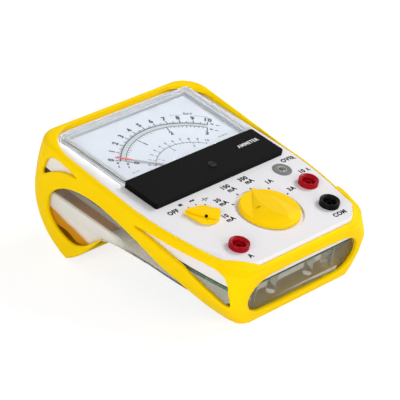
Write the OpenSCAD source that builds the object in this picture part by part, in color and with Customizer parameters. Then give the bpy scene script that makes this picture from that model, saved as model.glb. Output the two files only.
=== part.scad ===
// Analogue multi-range ammeter in an elastic bumper boot.
// Every piece is drawn in the panel's own frame: X to the right, Y up the panel towards the
// back, Z out of the panel, with the origin at the middle of the lens's front edge.
// The stand module then tilts the instrument and sets it on the bench, where Z = 0.

/* [Stance] */
// Slope of the control panel, in degrees
panel_tilt = 13.8; // [12:0.1:16]
// Depth trimmed off the undersides where they stand on the bench
ground_trim = 1; // [0.6:0.1:1.4]

/* [Bumper] */
// Width at the fullest level
bumper_w = 150; // [147:0.5:156]
// Reach in front of the lens's front edge
bumper_front = 81; // [80.5:0.5:84]
// Reach behind the lens
rear_margin = 12.4; // [12:0.1:15]
// Wall thickness
bumper_t = 3.2; // [2.8:0.1:3.6]
// Depth of the fullest level below the panel
bulge_depth = 18; // [17:0.5:20]
// How far the rim leans in from the fullest level
rim_lean = 0.4; // [0.2:0.1:1]
// How far the rear face leans in at the rim
rear_lean = 1.3; // [1:0.1:2.4]
// Depth of the front bar's underside
bar_depth = 45; // [44:0.5:48]
// Depth of the heel's lowest point
heel_depth = 83; // [81:0.5:86]
// How far the walls draw in towards the undersides
underside_draw = 13; // [11:0.5:14]
// Radius of the front corners at the fullest level
front_corner_r = 14; // [12:0.5:16]
// Radius of the front corners at the rim
rim_corner_r = 24; // [20:0.5:26]
// Radius of the rear corners
rear_corner_r = 18; // [16:0.5:20]
// Radius of the sides' sweep at the fullest level
side_r = 400; // [360:10:500]
// Radius of the sides' sweep at the rim
rim_side_r = 230; // [210:10:280]
// Depth of the rim's crest along the front and sides
rim_drop = 1.4; // [1.2:0.1:2]
// Height of the rim's crest behind the lens
rim_rise = 3.6; // [3:0.1:4.5]
// Height of the rounding from the outer wall up to the crest
bead_h = 3; // [2.4:0.1:3.4]
// Half width of the window in the front face
front_window_w = 53; // [48:0.5:54]

/* [Case] */
// Gap between the bumper and the case
case_gap = 0.25; // [0.15:0.05:0.35]
// Wall of both shells
shell_t = 2.2; // [1.8:0.1:2.4]
// Thickness of the panel
panel_t = 2.4; // [2:0.1:2.6]
// Half width of the flat panel inside its shoulder
panel_w = 62.6; // [61.4:0.1:62.8]
// Radius of the flat panel's sides
panel_side_r = 900; // [800:10:1200]
// Drop of the shoulder from the flat panel to its edge
shoulder_drop = 1.5; // [1.4:0.1:2]
// Depth of the seam between the shells
seam_depth = 16; // [15:0.5:17]
// Thickness of the gasket in the seam
gasket_t = 1.2; // [0.8:0.1:1.4]
// Height of the belly above the front bar's underside
belly_rise = 6; // [5:0.5:7]
// Depth of the rump under the meter
rump_depth = 55; // [54.5:0.5:56]
// Depth of the ridge in front of the rump
ridge_depth = 60; // [58:0.5:61]
// Radius of the screw bosses
boss_r = 3.5; // [3.2:0.1:3.8]
// Radius of the case screws
case_screw_r = 1.5; // [1.3:0.05:1.6]

/* [Meter] */
// Width of the lens
lens_w = 122; // [120:0.5:123]
// Length of the lens and the dial cover together
lens_l = 92.6; // [91.6:0.1:93]
// Height of the lens above the panel
lens_h = 4.2; // [4:0.1:4.6]
// Wall of the lens
lens_t = 1.6; // [1.4:0.1:1.7]
// Length of the dial cover in front of the lens
cover_l = 30.2; // [29:0.1:32]
// Radius of the lens's corners
lens_r = 1.5; // [1:0.1:2.5]
// Wall of the meter housing
housing_t = 1.8; // [1.5:0.1:2]
// Room between the meter housing and the belly's floor
housing_room = 3.8; // [3.4:0.1:5]
// Thickness of the scale plate
plate_t = 0.8; // [0.6:0.1:1]
// Where the pointer's pivot lies behind the lens's front edge
pivot_v = 13.6; // [13.5:0.1:16]
// Length of the pointer from its pivot to its tip
pointer_l = 61; // [58:0.5:66]
// Angle that the pointer sweeps from zero to full scale
sweep = 90; // [80:1:96]
// Radius of the core magnet
core_r = 4; // [3.6:0.1:4.1]
// Height of the core magnet
core_h = 12; // [11:0.5:12.5]

/* [Zero screw] */
// How far the zero screw stands to the right of the pivot
zero_u = 4.5; // [4.2:0.1:5]
// Radius of the zero screw's head
zero_r = 3; // [2.6:0.1:3.4]
// Throw of the pin under the zero screw
zero_throw = 1; // [0.8:0.05:1.1]
// Radius of that pin
zero_pin_r = 0.5; // [0.4:0.05:0.55]

/* [Range switch] */
// Place of the range switch across the panel
range_u = 4.4; // [0:0.1:8]
// Place of the range switch in front of the lens
range_v = -40; // [-44:0.1:-38]
// Radius of the range knob's disc
range_r = 20.7; // [20:0.1:22]
// Depth of the panel's recess under the range knob
range_recess = 1.2; // [1:0.1:1.4]
// Height of the disc's top above the recess
range_disc_h = 3.6; // [3.4:0.1:4]
// Height of the grip's tall end above the recess
range_grip_h = 9.2; // [8.6:0.1:11]
// Half width of the grip at the disc
range_grip_w = 6.2; // [5.8:0.1:7]
// Reach of the grip's point from the middle
range_tip = 22.6; // [22.2:0.1:23.4]
// Angle between two ranges
range_step = 30; // [24:1:30]
// Radius of the range switch's housing
range_body_r = 17; // [16:0.5:18]

/* [Function switch] */
// Place of the function switch across the panel
function_u = -38.8; // [-40:0.1:-36]
// Place of the function switch in front of the lens
function_v = -22.8; // [-24:0.1:-20]
// Radius of the function knob's skirt
function_r = 9.2; // [9:0.1:9.8]
// Reach of the skirt's point from the middle
function_tip = 13.8; // [12.6:0.1:14.4]
// Height of the skirt's top above the panel
function_skirt_h = 2.8; // [2.7:0.1:3.2]
// Height of the grip's top above the panel
function_grip_h = 5.5; // [5.4:0.1:7]
// Half width of the grip
function_grip_w = 5; // [4.6:0.1:5.6]
// Angle of the function knob's point from straight back, at rest
function_rest = 45; // [40:1:50]
// Radius of the function switch's housing
function_body_r = 10; // [9:0.5:11]

/* [Switch hardware] */
// Radius of both switch shafts
shaft_r = 3; // [2.5:0.1:3.2]
// Radius of both threaded bushes
bush_r = 4.5; // [4.2:0.1:5]
// Running clearance round a turning shaft
run_gap = 0.05; // [0.03:0.01:0.08]
// Gap between the panel and the knobs above it
knob_gap = 0.4; // [0.3:0.05:0.6]
// Height of the nuts on the bushes
nut_h = 1.8; // [1.4:0.1:2]
// Radius of the set screws in the knobs
set_screw_r = 1.1; // [1:0.05:1.2]

/* [Sockets] */
// Place of the A and COM sockets either side of the middle
socket_u = 44; // [42:0.1:46]
// Place of the A and COM sockets in front of the lens
socket_v = -57.4; // [-59:0.1:-56]
// Place of the 10 A socket across the panel
socket_10a_u = 50.2; // [48:0.1:50.5]
// Place of the 10 A socket in front of the lens
socket_10a_v = -33; // [-35:0.1:-32]
// Radius of the sockets' flanges
flange_r = 6.9; // [6.6:0.1:7.4]
// Height of the flanges above the panel
flange_h = 3.2; // [2.6:0.1:3.6]
// Radius of the well that takes a shrouded plug
well_r = 4.2; // [4.1:0.05:4.4]
// Radius of the socket's barrel
barrel_r = 5.6; // [5.4:0.1:6]
// Depth of the socket's barrel
barrel_depth = 14; // [13:0.5:15]
// Bore of the contacts, for a 4 mm plug
contact_bore_r = 2; // [1.9:0.05:2.1]
// Outer radius of the contacts
contact_r = 2.7; // [2.6:0.05:2.9]

/* [Lamp] */
// Place of the overload lamp across the panel
lamp_u = 47.2; // [46:0.1:48]
// Place of the overload lamp in front of the lens
lamp_v = -12.2; // [-13:0.1:-11]
// Radius of the lamp's bezel
lamp_r = 6.84; // [6:0.02:7]
// Radius of the lamp's lens
lamp_lens_r = 3.4; // [3:0.1:3.8]

/* [Board and battery] */
// Depth of the circuit board's upper face
board_depth = 19; // [18.5:0.1:19.5]
// Thickness of the circuit board
board_t = 1.6; // [1.2:0.1:2]
// Length of the battery
battery_l = 48.5; // [46:0.5:50]
// Width of the battery
battery_w = 26.5; // [25:0.5:27]
// Thickness of the battery
battery_h = 17; // [16.5:0.1:17.2]
// Length of the fuse
fuse_l = 32; // [30:0.5:34]
// Radius of the fuse's glass
fuse_r = 3; // [2.6:0.1:3.1]

/* [Hidden] */
$fn = 64;

big = 400;
eps = 0.01;
corner_steps = 7;
side_steps = 6;

// The bumper's rear, and how it compares with the length that the outlines below are drawn for
bumper_rear = lens_l + rear_margin;
drawn_rear = 105;
rear_share = bumper_rear / drawn_rear;
belly_depth = bar_depth - belly_rise;

// The battery lies in its cradle on the rump's floor, and the meter's housing clears both it and the belly
cradle_t = 1.2;
cradle_seat = 0.2;
battery_room = 1;
battery_n0 = -rump_depth + shell_t + cradle_t + cradle_seat;
battery_v0 = bumper_rear - 44.5;
housing_depth = min(belly_depth - shell_t - housing_room, -battery_n0 - battery_h - battery_room);

// Where the sides stop sweeping in and run straight back
side_v = 8;
// The heel's curve starts at this depth and ends below this place
heel_top = 28;
heel_v = 64 * rear_share;
// The undersides deepen from the bar to the heel over this stretch
deepen_from = 0;
deepen_to = 55 * rear_share;
front_lean = 0.6;
// The rim's crest rises over this stretch
rise_from = 28 * rear_share;
rise_to = 80 * rear_share;
draw_power = 2.2;

// Insets from the bumper's outer face
case_in = bumper_t + case_gap;
inner_in = case_in + shell_t;

// The flat panel's front, rear and corners, and how deep the holes in it are cut
panel_front = 75.4;
panel_rear = lens_l + 3.4;
panel_corner_r = 18;
panel_cut = -8;

// Levels of the case and its seam
seam = -seam_depth;
floor_top = seam - gasket_t;
panel_under = -panel_t;

// The meter's housing lies inside the lens, and its window inside the housing
housing_w = lens_w - 2 * lens_t - 2 * housing_t;
housing_v0 = lens_t + 0.6;
housing_v1 = lens_l - lens_t - 0.8;
window_w = housing_w - 2 * housing_t;
window_v0 = housing_v0 + housing_t;
window_v1 = housing_v1 - housing_t;
seat_gap = 0.2;
flange_t = 0.8;

// The movement, from its core outwards, and its levels from the lens down
core_top = -8;
coil_gap = 0.6;
coil_t = 1.2;
coil_w = 3;
yoke_in = core_r + coil_gap + coil_t + 1;
yoke_out = yoke_in + 2.4;
pillar_u = (yoke_in + yoke_out) / 2;
staff_r = 0.8;
pivot_r = 0.3;
// Cut-out of the scale plate round the pivot, hidden by the dial cover
plate_cut_r = 15.6;
jewel_r = 1.5;
hub_r = 2.2;
hub_top = -0.1;
hub_bottom = -0.9;
tail_r = 3.4;
weight_l = 1.2;
cock_bottom = 1.2;
cock_top = lens_h - lens_t - 0.4;
cock_boss_r = 2;
arm_bottom = 0.5;
arm_top = 1;
spring_bottom = 0.05;
spring_h = 0.2;
blade_bottom = 0.6;
blade_top = 1.1;
lower_top = core_top - core_h - 4;
lower_bottom = lower_top - 2;

// Switches: the wipers turn just above the board
wiper_gap = 0.2;
wiper_top = -board_depth + 4.5;
wiper_bottom = wiper_top - 2;
switch_wall = 2;
// The function grip's flanks would meet this far behind its middle
function_grip_l = 20;
knob_recess_r = bush_r + 2.9;
knob_recess_h = nut_h + 0.4;
knob_top_t = 1;
set_screw_z = knob_recess_h + set_screw_r + 0.3;
range_set_z = range_disc_h + set_screw_r + 0.1;
range_shaft_top = range_disc_h + 1.7;
// Spread of the range grip's flanks from its point, and the thickness of a hull's outlines
range_fan = 31;
grip_skin = 0.1;
// Room round the turning point
range_clear = 0.7;

SOCKETS = [[-socket_u, socket_v], [socket_10a_u, socket_10a_v], [socket_u, socket_v]];
CASE_SCREWS = [[-38, -69], [38, -69], [-50, lens_l + 1.9], [50, lens_l + 1.9]];
BOARD_SCREWS = [[-56, -6], [56, -6], [-18, -70], [18, -70]];
SCALE_SCREWS = [[-46, 27], [46, 27]];

// The front window's outline, right half, from the top middle to the bottom middle
front_window = [
    [0, -10], [0.58 * front_window_w, -10.2], [0.8 * front_window_w, -12.2],
    [0.94 * front_window_w, -16.4], [front_window_w, -23], [0.985 * front_window_w, -28.5],
    [0.9 * front_window_w, -bar_depth + 10.6], [0.75 * front_window_w, -bar_depth + 7],
    [0.4 * front_window_w, -bar_depth + 5.8], [0, -bar_depth + 5.7]
];
// The side window, from its cleft forward along the top and back along the bottom
side_window = along([
    [9, -10.6], [-10, -8.3], [-30, -7.7], [-50, -7], [-63, -7.8], [-70, -12], [-73.6, -20],
    [-74.3, -29.6], [-62, -25.6], [-49, -21], [-38, -16.9], [-25, -14.2], [-8, -11.6]
]);
// The small window by the rear corner
corner_window = along([
    [56, -6.6], [65, -4.6], [74, -3], [81, -3], [86.5, -6], [89.3, -12], [89.6, -19.6],
    [82, -14.3], [73.5, -9.5], [64.5, -7]
]);
// The undersides: the front bar, the lower band, the loop by the heel and the heel's own sole
underside = along([
    [-79, -46], [-72, -44.2], [-61.5, -42.3], [-49, -36], [-36, -30.4], [-20, -26.2], [0, -19.6],
    [16, -16.3], [32, -14], [46, -13.8], [58.5, -15.5], [69, -19.6], [77, -26], [81.2, -34],
    [81, -46], [75, -55], [67, -60.2], [59, -62], [50, -58], [42, -50], [34, -41.5],
    [42, -53], [50, -64], [57, -71.5], [65, -78], [74, -86]
]);
// The inside of the sole, which curls up under the belly
sole_inside = along([[47, -58.5], [54, -67], [61, -74.5], [68, -79], [76, -81]]);

function mix(a, b, t) = a + (b - a) * t;
function limit(t) = max(0, min(1, t));
// Outline drawn for the usual length, stretched behind the lens's front edge to the actual one
function along(p) = [for (q = p) [q.x > 0 ? q.x * rear_share : q.x, q.y]];
function ease(t) = let (s = limit(t)) s * s * (3 - 2 * s);

// One stretch of a curve through points, with k steps
function stretch(a, b, c, d, k) = [
    for (i = [0 : k - 1]) let (t = i / k)
        0.5 * (2 * b + (c - a) * t + (2 * a - 5 * b + 4 * c - d) * t * t
            + (3 * b - a - 3 * c + d) * t * t * t)
];
// Smooth closed outline through points
function closed_curve(p, k) = let (m = len(p)) [
    for (i = [0 : m - 1]) each stretch(p[(i + m - 1) % m], p[i], p[(i + 1) % m], p[(i + 2) % m], k)
];
// Smooth open line through points
function open_curve(p, k) = let (m = len(p)) concat(
    [for (i = [0 : m - 2]) each stretch(p[max(0, i - 1)], p[i], p[i + 1], p[min(m - 1, i + 2)], k)],
    [p[m - 1]]
);
function mirrored(p) = [for (i = [len(p) - 1 : -1 : 0]) [-p[i].x, p[i].y]];

// How far level n lies from the fullest level up to the panel
function rise_at(n) = limit((n + bulge_depth) / bulge_depth);
// Rear face of the bumper at level n
function rear_at(n) = n > -heel_top
    ? bumper_rear - rear_lean * pow(rise_at(n), 2)
    : let (s = limit((-n - heel_top) / (heel_depth - heel_top)))
        heel_v + (bumper_rear - heel_v) * sqrt(1 - s * s);
// Front face of the bumper at level n
function front_at(n) = bumper_front - front_lean * pow(rise_at(n), 2);
// Share of the full width left at level n, as the walls draw in towards the undersides
function draw_at(v, n) = let (
        depth = mix(bar_depth, heel_depth, ease((v - deepen_from) / (deepen_to - deepen_from))),
        s = limit((-bulge_depth - n) / (depth - bulge_depth))
    ) 1 - 2 * underside_draw * pow(s, draw_power) / bumper_w;

// Right half of an outline of half width w, from its front to its rear: the side sweeps in with
// radius r, and the corners have radii fr and rr
function half_sweep(w, r, fr, rr, front, rear) = let (
        fv = front + fr,
        rv = rear - rr,
        fu = w - r + sqrt(pow(r - fr, 2) - pow(fv - side_v, 2)),
        turn = atan2(fv - side_v, fu - w + r)
    ) concat(
        [for (i = [0 : corner_steps]) let (a = mix(-90, turn, i / corner_steps))
            [fu + fr * cos(a), fv + fr * sin(a)]],
        [for (i = [1 : side_steps]) let (a = mix(turn, 0, i / side_steps))
            [w - r + r * cos(a), side_v + r * sin(a)]],
        [for (i = [0 : corner_steps]) let (a = 90 * i / corner_steps)
            [w - rr + rr * cos(a), rv + rr * sin(a)]]
    );
// Right half of the bumper's outline at level n, moved in by d
function half_outline(n, d) = let (q = rise_at(n)) half_sweep(
        bumper_w / 2 - rim_lean * q * q - d,
        mix(side_r, rim_side_r, q) - d,
        max(1, mix(front_corner_r, rim_corner_r, q) - d),
        max(1, rear_corner_r - d),
        -front_at(n) + d,
        rear_at(n) - d
    );
function outline(n, d) = let (
        h = [for (p = half_outline(n, d)) [p.x * draw_at(p.y, n), p.y]]
    ) concat(h, mirrored(h));
// The flat panel's outline inside its shoulder, moved in by d
function panel_outline(d) = let (
        h = half_sweep(panel_w - d, panel_side_r - d, panel_corner_r - d, panel_corner_r - d,
            -panel_front + d, panel_rear - d)
    ) concat(h, mirrored(h));
function level(p, z) = [for (q = p) [q.x, q.y, z]];
// One ring of a loft: the outline of level n moved in by d, laid at height z
function ring(n, d, z) = level(outline(n, d), z);
// The boot's opening over the panel: its rear corners are rounded up to the lens's corners
function opening(d) = let (
        h = half_sweep(bumper_w / 2 - rim_lean - d, rim_side_r - d, rim_corner_r - d, opening_r,
            -front_at(0) + d, rear_at(0) - d)
    ) concat(h, mirrored(h));
// One ring round the rim: the outline moved in by d, lower than the crest by drop
function rim_ring(drop, d) = [for (p = outline(0, d)) [p.x, p.y, rim_at(p.y) - drop]];

// Height of the rim's crest at place v
function rim_at(v) = mix(-rim_drop, rim_rise, ease((v - rise_from) / (rise_to - rise_from)));

// The opening's rear corners: the radius that passes the lens's corner at this distance
corner_clear = 0.6;
beside_lens = bumper_w / 2 - rim_lean - bumper_t - lens_w / 2;
behind_lens = rear_at(0) - bumper_t - lens_l;
corner_sum = beside_lens + behind_lens - corner_clear;
opening_r = max(
    rear_corner_r - bumper_t,
    corner_sum + sqrt(pow(corner_sum, 2) - pow(beside_lens, 2) - pow(behind_lens, 2) + pow(corner_clear, 2))
);
// How far the rim's top falls towards the opening
rim_fall = 1;

// Levels of the bumper's loft, from the heel up to the rim's rounding
BOOT_LEVELS = [
    -heel_depth, -0.985 * heel_depth, -0.96 * heel_depth, -0.92 * heel_depth, -0.86 * heel_depth,
    -0.78 * heel_depth, -0.68 * heel_depth, -0.58 * heel_depth, -bar_depth, -38, -32, -heel_top,
    -bulge_depth, -12, -7
];

// The stance: the front bar's lower edge is trimmed flat by the bench, and the origin lies
// under the middle of the whole
bar_z = -front_at(-bar_depth) * sin(panel_tilt) - bar_depth * cos(panel_tilt);
front_y = -front_at(0) * cos(panel_tilt) + (rim_drop + bead_h) * sin(panel_tilt);
rear_y = max([for (n = BOOT_LEVELS) rear_at(n) * cos(panel_tilt) - n * sin(panel_tilt)]);
stand_z = -bar_z - ground_trim;
stand_y = -(front_y + rear_y) / 2;

module stand() {
    translate([0, stand_y, stand_z])
        rotate([panel_tilt, 0, 0])
            children();
}
// Closed solid through rings of equal length, from the lowest ring to the highest
module loft(rings) {
    m = len(rings[0]);
    k = len(rings);
    polyhedron(
        points = [for (r = rings) each r],
        faces = concat(
            [[for (j = [0 : m - 1]) j]],
            [[for (j = [m - 1 : -1 : 0]) (k - 1) * m + j]],
            [for (i = [0 : k - 2], j = [0 : m - 1]) let (a = i * m + j, b = i * m + (j + 1) % m) each
                [[a, a + m, b + m], [a, b + m, b]]]
        )
    );
}
// Cut or block with an outline seen from the side, right across the instrument
module across(p, w = 2 * big) {
    rotate([90, 0, 90])
        linear_extrude(w, center = true)
            polygon(p);
}
module disc(r, z0, z1) {
    translate([0, 0, z0])
        cylinder(r = r, h = z1 - z0);
}
module block(u0, u1, v0, v1, n0, n1) {
    translate([u0, v0, n0])
        cube([u1 - u0, v1 - v0, n1 - n0]);
}
module slab(u0, u1, v0, v1, n0, n1, r) {
    translate([0, 0, n0])
        linear_extrude(n1 - n0)
            rounded(u0, u1, v0, v1, r);
}
module rounded(u0, u1, v0, v1, r) {
    square_in = [[u0 + r, v0 + r], [u1 - r, v0 + r], [u1 - r, v1 - r], [u0 + r, v1 - r]];
    polygon([
        for (i = [0 : 3], a = [0 : 30 : 90])
            square_in[i] + r * [cos(180 + 90 * i + a), sin(180 + 90 * i + a)]
    ]);
}
module at(p) {
    translate([p.x, p.y, 0])
        children();
}

// Bumper boot: one elastic moulding that wraps the case, with open sides and a curled heel
module bumper_boot() {
    color("gold")
        difference() {
            stand() boot_form();
            translate([-big, -big, -2 * big])
                cube(2 * big);
        }
}
module boot_form() {
    difference() {
        loft(concat(
            [for (n = BOOT_LEVELS) ring(n, 0, n)],
            [rim_ring(bead_h, 0), rim_ring(0.3 * bead_h, 0.3 * bumper_t), rim_ring(0, bumper_t - 0.3)],
            [rim_ring(rim_fall, 6 * bumper_t), ring(0, 6.5 * bumper_t, -rim_drop - bead_h)]
        ));
        boot_inside();
        across(closed_curve(side_window, 4));
        across(closed_curve(corner_window, 4));
        across(concat(open_curve(underside, 3), [[big, -86], [big, -big], [-big, -big], [-big, -46]]));
        boot_front_window();
    }
}
module boot_inside() {
    intersection() {
        loft(concat(
            [for (n = BOOT_LEVELS) ring(n, bumper_t, n == -heel_depth ? n - 1 : n)],
            [ring(0, bumper_t, case_gap), level(opening(bumper_t), case_gap + eps)],
            [level(opening(bumper_t), rim_rise + 1)]
        ));
        across(concat(
            open_curve(sole_inside, 3),
            [[big, -81], [big, big], [-big, big], [-big, -bar_depth + bumper_t]],
            [[sole_inside[0].x - 17, -bar_depth + bumper_t], [sole_inside[0].x - 17, -big], [sole_inside[0].x, -big]]
        ));
    }
}
module boot_front_window() {
    half = open_curve(front_window, 3);
    translate([0, -bumper_front + 3 * bumper_t, 0])
        rotate([90, 0, 0])
            linear_extrude(6 * bumper_t)
                polygon(concat(half, mirrored([for (i = [1 : len(half) - 2]) half[i]])));
}

// Top shell: the flat panel with a sloping shoulder, open over the meter
module top_shell() {
    color("whitesmoke")
        stand()
            difference() {
                union() {
                    difference() {
                        shell_outer();
                        shell_inner();
                    }
                    for (p = CASE_SCREWS)
                        at(p) disc(boss_r, seam, panel_under);
                }
                slab(-housing_w / 2 - seat_gap, housing_w / 2 + seat_gap, housing_v0 - seat_gap,
                    housing_v1 + seat_gap, panel_cut, big, 1);
                at([range_u, range_v]) {
                    disc(bush_r + seat_gap, panel_cut, 1);
                    disc(range_tip + range_clear, -range_recess, 1);
                }
                at([function_u, function_v]) disc(bush_r + seat_gap, panel_cut, 1);
                at([lamp_u, lamp_v]) disc(lamp_r - 1.6, panel_cut, 1);
                for (p = SOCKETS)
                    at(p) disc(barrel_r + seat_gap / 2, panel_cut, 1);
                for (p = CASE_SCREWS)
                    at(p) disc(case_screw_r + run_gap, seam - 1, -5);
            }
}
module shell_outer() {
    edge = -shoulder_drop;
    loft([
        ring(seam, case_in, seam),
        ring(-11, case_in, -11),
        ring(edge, case_in, edge - 0.6),
        ring(edge, case_in + 0.4, edge),
        level(panel_outline(0), 0)
    ]);
}
module shell_inner() {
    loft([
        ring(seam, inner_in, seam - 1),
        ring(-11, inner_in, -11),
        ring(-shoulder_drop, inner_in, -shoulder_drop - shell_t),
        level(panel_outline(2), panel_under)
    ]);
}

// Bottom shell: the clear tub under the panel, with bosses for the screws
module bottom_shell() {
    color([0.86, 0.87, 0.85, 0.35])
        stand()
            difference() {
                union() {
                    difference() {
                        tub(case_in, 0);
                        tub_room();
                    }
                    intersection() {
                        tub(case_in, 0);
                        bosses();
                    }
                }
                for (p = CASE_SCREWS)
                    at(p) {
                        disc(case_screw_r + seat_gap, -big, 0);
                        disc(case_screw_r + 1.5, -big, floor_top - 8);
                    }
            }
}
module bosses() {
    for (p = CASE_SCREWS)
        at(p) disc(boss_r + 0.6, -big, floor_top);
    for (p = BOARD_SCREWS)
        at(p) disc(boss_r - 0.5, -big, -board_depth - board_t);
}
// The tub's outline seen from the side, raised by d
function belly(d) = let (
        keel = along([
            [-12, -belly_depth], [10, -belly_depth - 0.6], [24, -belly_depth - 2.4],
            [34, -belly_depth - 5.6], [42, -ridge_depth + 10], [48, -ridge_depth + 3.2],
            [54, -ridge_depth], [60, -ridge_depth + 0.6], [65, -rump_depth - 1],
            [72, -rump_depth], [86, -rump_depth]
        ])
    ) concat(
        [[-big, big], [-big, -belly_depth + d]],
        [for (p = open_curve(keel, 3)) [p.x, p.y + d]],
        [[big, -rump_depth + d], [big, big]]
    );
module tub(d, lift) {
    intersection() {
        loft([for (n = [-62, -56, -50, -44, -38, -32, -heel_top, floor_top]) ring(n, d, n)]);
        across(belly(lift));
    }
}
module tub_room() {
    intersection() {
        loft([for (n = [-62, -56, -50, -44, -38, -32, -heel_top, floor_top])
            ring(n, inner_in, n == floor_top ? n + 1 : n)]);
        across(belly(shell_t));
    }
}

// Gasket: a flat ring in the seam
module shell_gasket() {
    color("dimgray")
        stand()
            translate([0, 0, floor_top])
                linear_extrude(gasket_t)
                    difference() {
                        polygon(outline(seam, case_in + 0.1));
                        polygon(outline(seam, inner_in - 0.4));
                        for (p = CASE_SCREWS)
                            translate(p) circle(case_screw_r + seat_gap);
                    }
}

// Case screws: from under the tub into the posts of the top shell
module case_screws() {
    seat = floor_top - 8;
    color("silver")
        stand()
            for (p = CASE_SCREWS)
                at(p) difference() {
                    union() {
                        disc(case_screw_r, seat, -6);
                        disc(case_screw_r + 1.3, seat - 2, seat);
                    }
                    block(-0.4, 0.4, -1.6, 1.6, seat - 3, seat - 1.2);
                    block(-1.6, 1.6, -0.4, 0.4, seat - 3, seat - 1.2);
                }
}

// Meter housing: the grey tray that hangs in the panel and carries the movement
module meter_housing() {
    half = housing_w / 2;
    inner = window_w / 2;
    color("gray")
        stand()
            difference() {
                union() {
                    slab(-half, half, housing_v0, housing_v1, -housing_depth, lens_h - lens_t - seat_gap, 1);
                    slab(-half - housing_t + seat_gap, half + housing_t - seat_gap, lens_t + seat_gap,
                        lens_l - lens_t - seat_gap, 0, flange_t, 1);
                }
                difference() {
                    slab(-inner, inner, window_v0, window_v1, -housing_depth + housing_t, big, 0.6);
                    housing_supports();
                }
                block(-big, big, 0, cover_l + 0.4, flange_t, big);
                for (p = SCALE_SCREWS)
                    at(p) disc(0.8, -9, big);
            }
}
// Ledges for the scale plate, posts for its screws and for the movement
module housing_supports() {
    inner = window_w / 2;
    for (s = [-1, 1]) {
        translate([s * (inner - 0.7), 0, 0])
            block(-0.8, 0.8, 40, window_v1, -4, -plate_t);
        at([s * pillar_u, pivot_v]) disc(2.4, -housing_depth, lower_bottom);
    }
    for (p = SCALE_SCREWS)
        at(p) disc(2.6, -housing_depth, -plate_t);
}

// Meter lens: a clear tray upside down over the scale
module meter_lens() {
    half = lens_w / 2;
    color([0.9, 0.95, 0.97, 0.3])
        stand()
            difference() {
                slab(-half, half, cover_l + seat_gap / 2, lens_l, 0, lens_h, lens_r);
                block(-half + lens_t, half - lens_t, 0, lens_l - lens_t, -1, lens_h - lens_t);
            }
}

// Dial cover: the dark front of the meter, over the movement
module dial_cover() {
    half = lens_w / 2;
    color([0.15, 0.15, 0.15])
        stand()
            difference() {
                slab(-half, half, 0, cover_l - seat_gap / 2, 0, lens_h, lens_r);
                block(-half + lens_t, half - lens_t, lens_t, lens_l, -1, lens_h - lens_t);
                at([zero_u, pivot_v]) {
                    disc(zero_r + run_gap, lens_h - 0.8, lens_h + 1);
                    disc(zero_r - 1 + run_gap, 0, lens_h);
                }
            }
}

// Scale plate: cut back round the pivot so that the pointer can rise over it
module scale_plate() {
    inner = window_w / 2 - seat_gap;
    color("white")
        stand()
            difference() {
                slab(-inner, inner, 22, window_v1 - seat_gap, -plate_t, 0, 0.6);
                at([0, pivot_v]) disc(plate_cut_r, -2, 1);
                for (p = SCALE_SCREWS)
                    at(p) disc(1, -2, 1);
            }
}
module scale_screws() {
    color("silver")
        stand()
            for (p = SCALE_SCREWS)
                at(p) difference() {
                    union() {
                        disc(0.75, -7, 0);
                        disc(1.7, 0, 1);
                    }
                    block(-2, 2, -0.25, 0.25, 0.5, 2);
                }
}

// Movement: a core magnet inside the coil, inside an iron yoke
module on_pivot() {
    stand()
        at([0, pivot_v])
            children();
}
module movement_yoke() {
    mid = core_top - core_h / 2;
    color("slategray")
        on_pivot()
            difference() {
                union() {
                    difference() {
                        disc(yoke_out, core_top - core_h, core_top);
                        disc(yoke_in, core_top - core_h - 1, core_top + 1);
                    }
                    for (s = [0, 180])
                        rotate([0, 0, s]) block(core_r - 1, yoke_in + 1, -1.1, 1.1, mid - 2, mid + 2);
                }
                disc(core_r, core_top - core_h - 1, core_top + 1);
            }
}
module core_magnet() {
    color("dimgray")
        on_pivot() disc(core_r, core_top - core_h, core_top);
}
// Upper bridge: a cock on one pillar, with a boss that carries the zero arm and the jewel
module upper_bridge() {
    color("goldenrod")
        on_pivot()
            difference() {
                union() {
                    at([-pillar_u, 0]) disc(1.6, core_top, cock_top);
                    block(-pillar_u, 0, -1.6, 1.6, cock_bottom, cock_top);
                    disc(2.6, cock_bottom, cock_top);
                    disc(cock_boss_r, arm_bottom - 0.1, cock_top);
                }
                disc(jewel_r, 0, cock_top + 1);
            }
}
module lower_bridge() {
    color("goldenrod")
        on_pivot()
            difference() {
                union() {
                    block(-pillar_u, pillar_u, -2, 2, lower_bottom, lower_top);
                    for (s = [-1, 1])
                        at([s * pillar_u, 0]) disc(1.7, lower_bottom, core_top - core_h);
                }
                disc(jewel_r, lower_bottom - 1, lower_top + 1);
            }
}
module jewel(z0, z1, mouth) {
    difference() {
        disc(jewel_r, z0, z1);
        disc(pivot_r + run_gap, mouth - 1, mouth + 1);
    }
}
module upper_jewel() {
    color("crimson")
        on_pivot() jewel(arm_bottom - 0.1, cock_top, arm_bottom - 0.1);
}
module lower_jewel() {
    color("crimson")
        on_pivot() jewel(lower_bottom, lower_top, lower_top);
}

// What turns with the pointer: coil, staff, pointer and its balance weights
module turned_to_zero() {
    on_pivot()
        rotate([0, 0, 90 + sweep / 2])
            children();
}
module coil_staff() {
    top = core_top + coil_gap + coil_t;
    bottom = core_top - core_h - coil_gap - coil_t;
    shoulder = 0.15;
    color("silver")
        turned_to_zero() {
            disc(staff_r, top, arm_bottom - 0.1 - shoulder);
            disc(pivot_r, arm_bottom - 0.1 - shoulder - eps, arm_bottom + 0.7);
            disc(staff_r, lower_top + shoulder, bottom);
            disc(pivot_r, lower_top - 0.8, lower_top + shoulder + eps);
        }
}
module moving_coil() {
    inside = core_r + coil_gap;
    outside = inside + coil_t;
    top = core_top + coil_gap;
    bottom = core_top - core_h - coil_gap;
    color("chocolate")
        turned_to_zero()
            difference() {
                block(-outside, outside, -coil_w / 2, coil_w / 2, bottom - coil_t, top + coil_t);
                block(-inside, inside, -coil_w, coil_w, bottom, top);
            }
}
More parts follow.
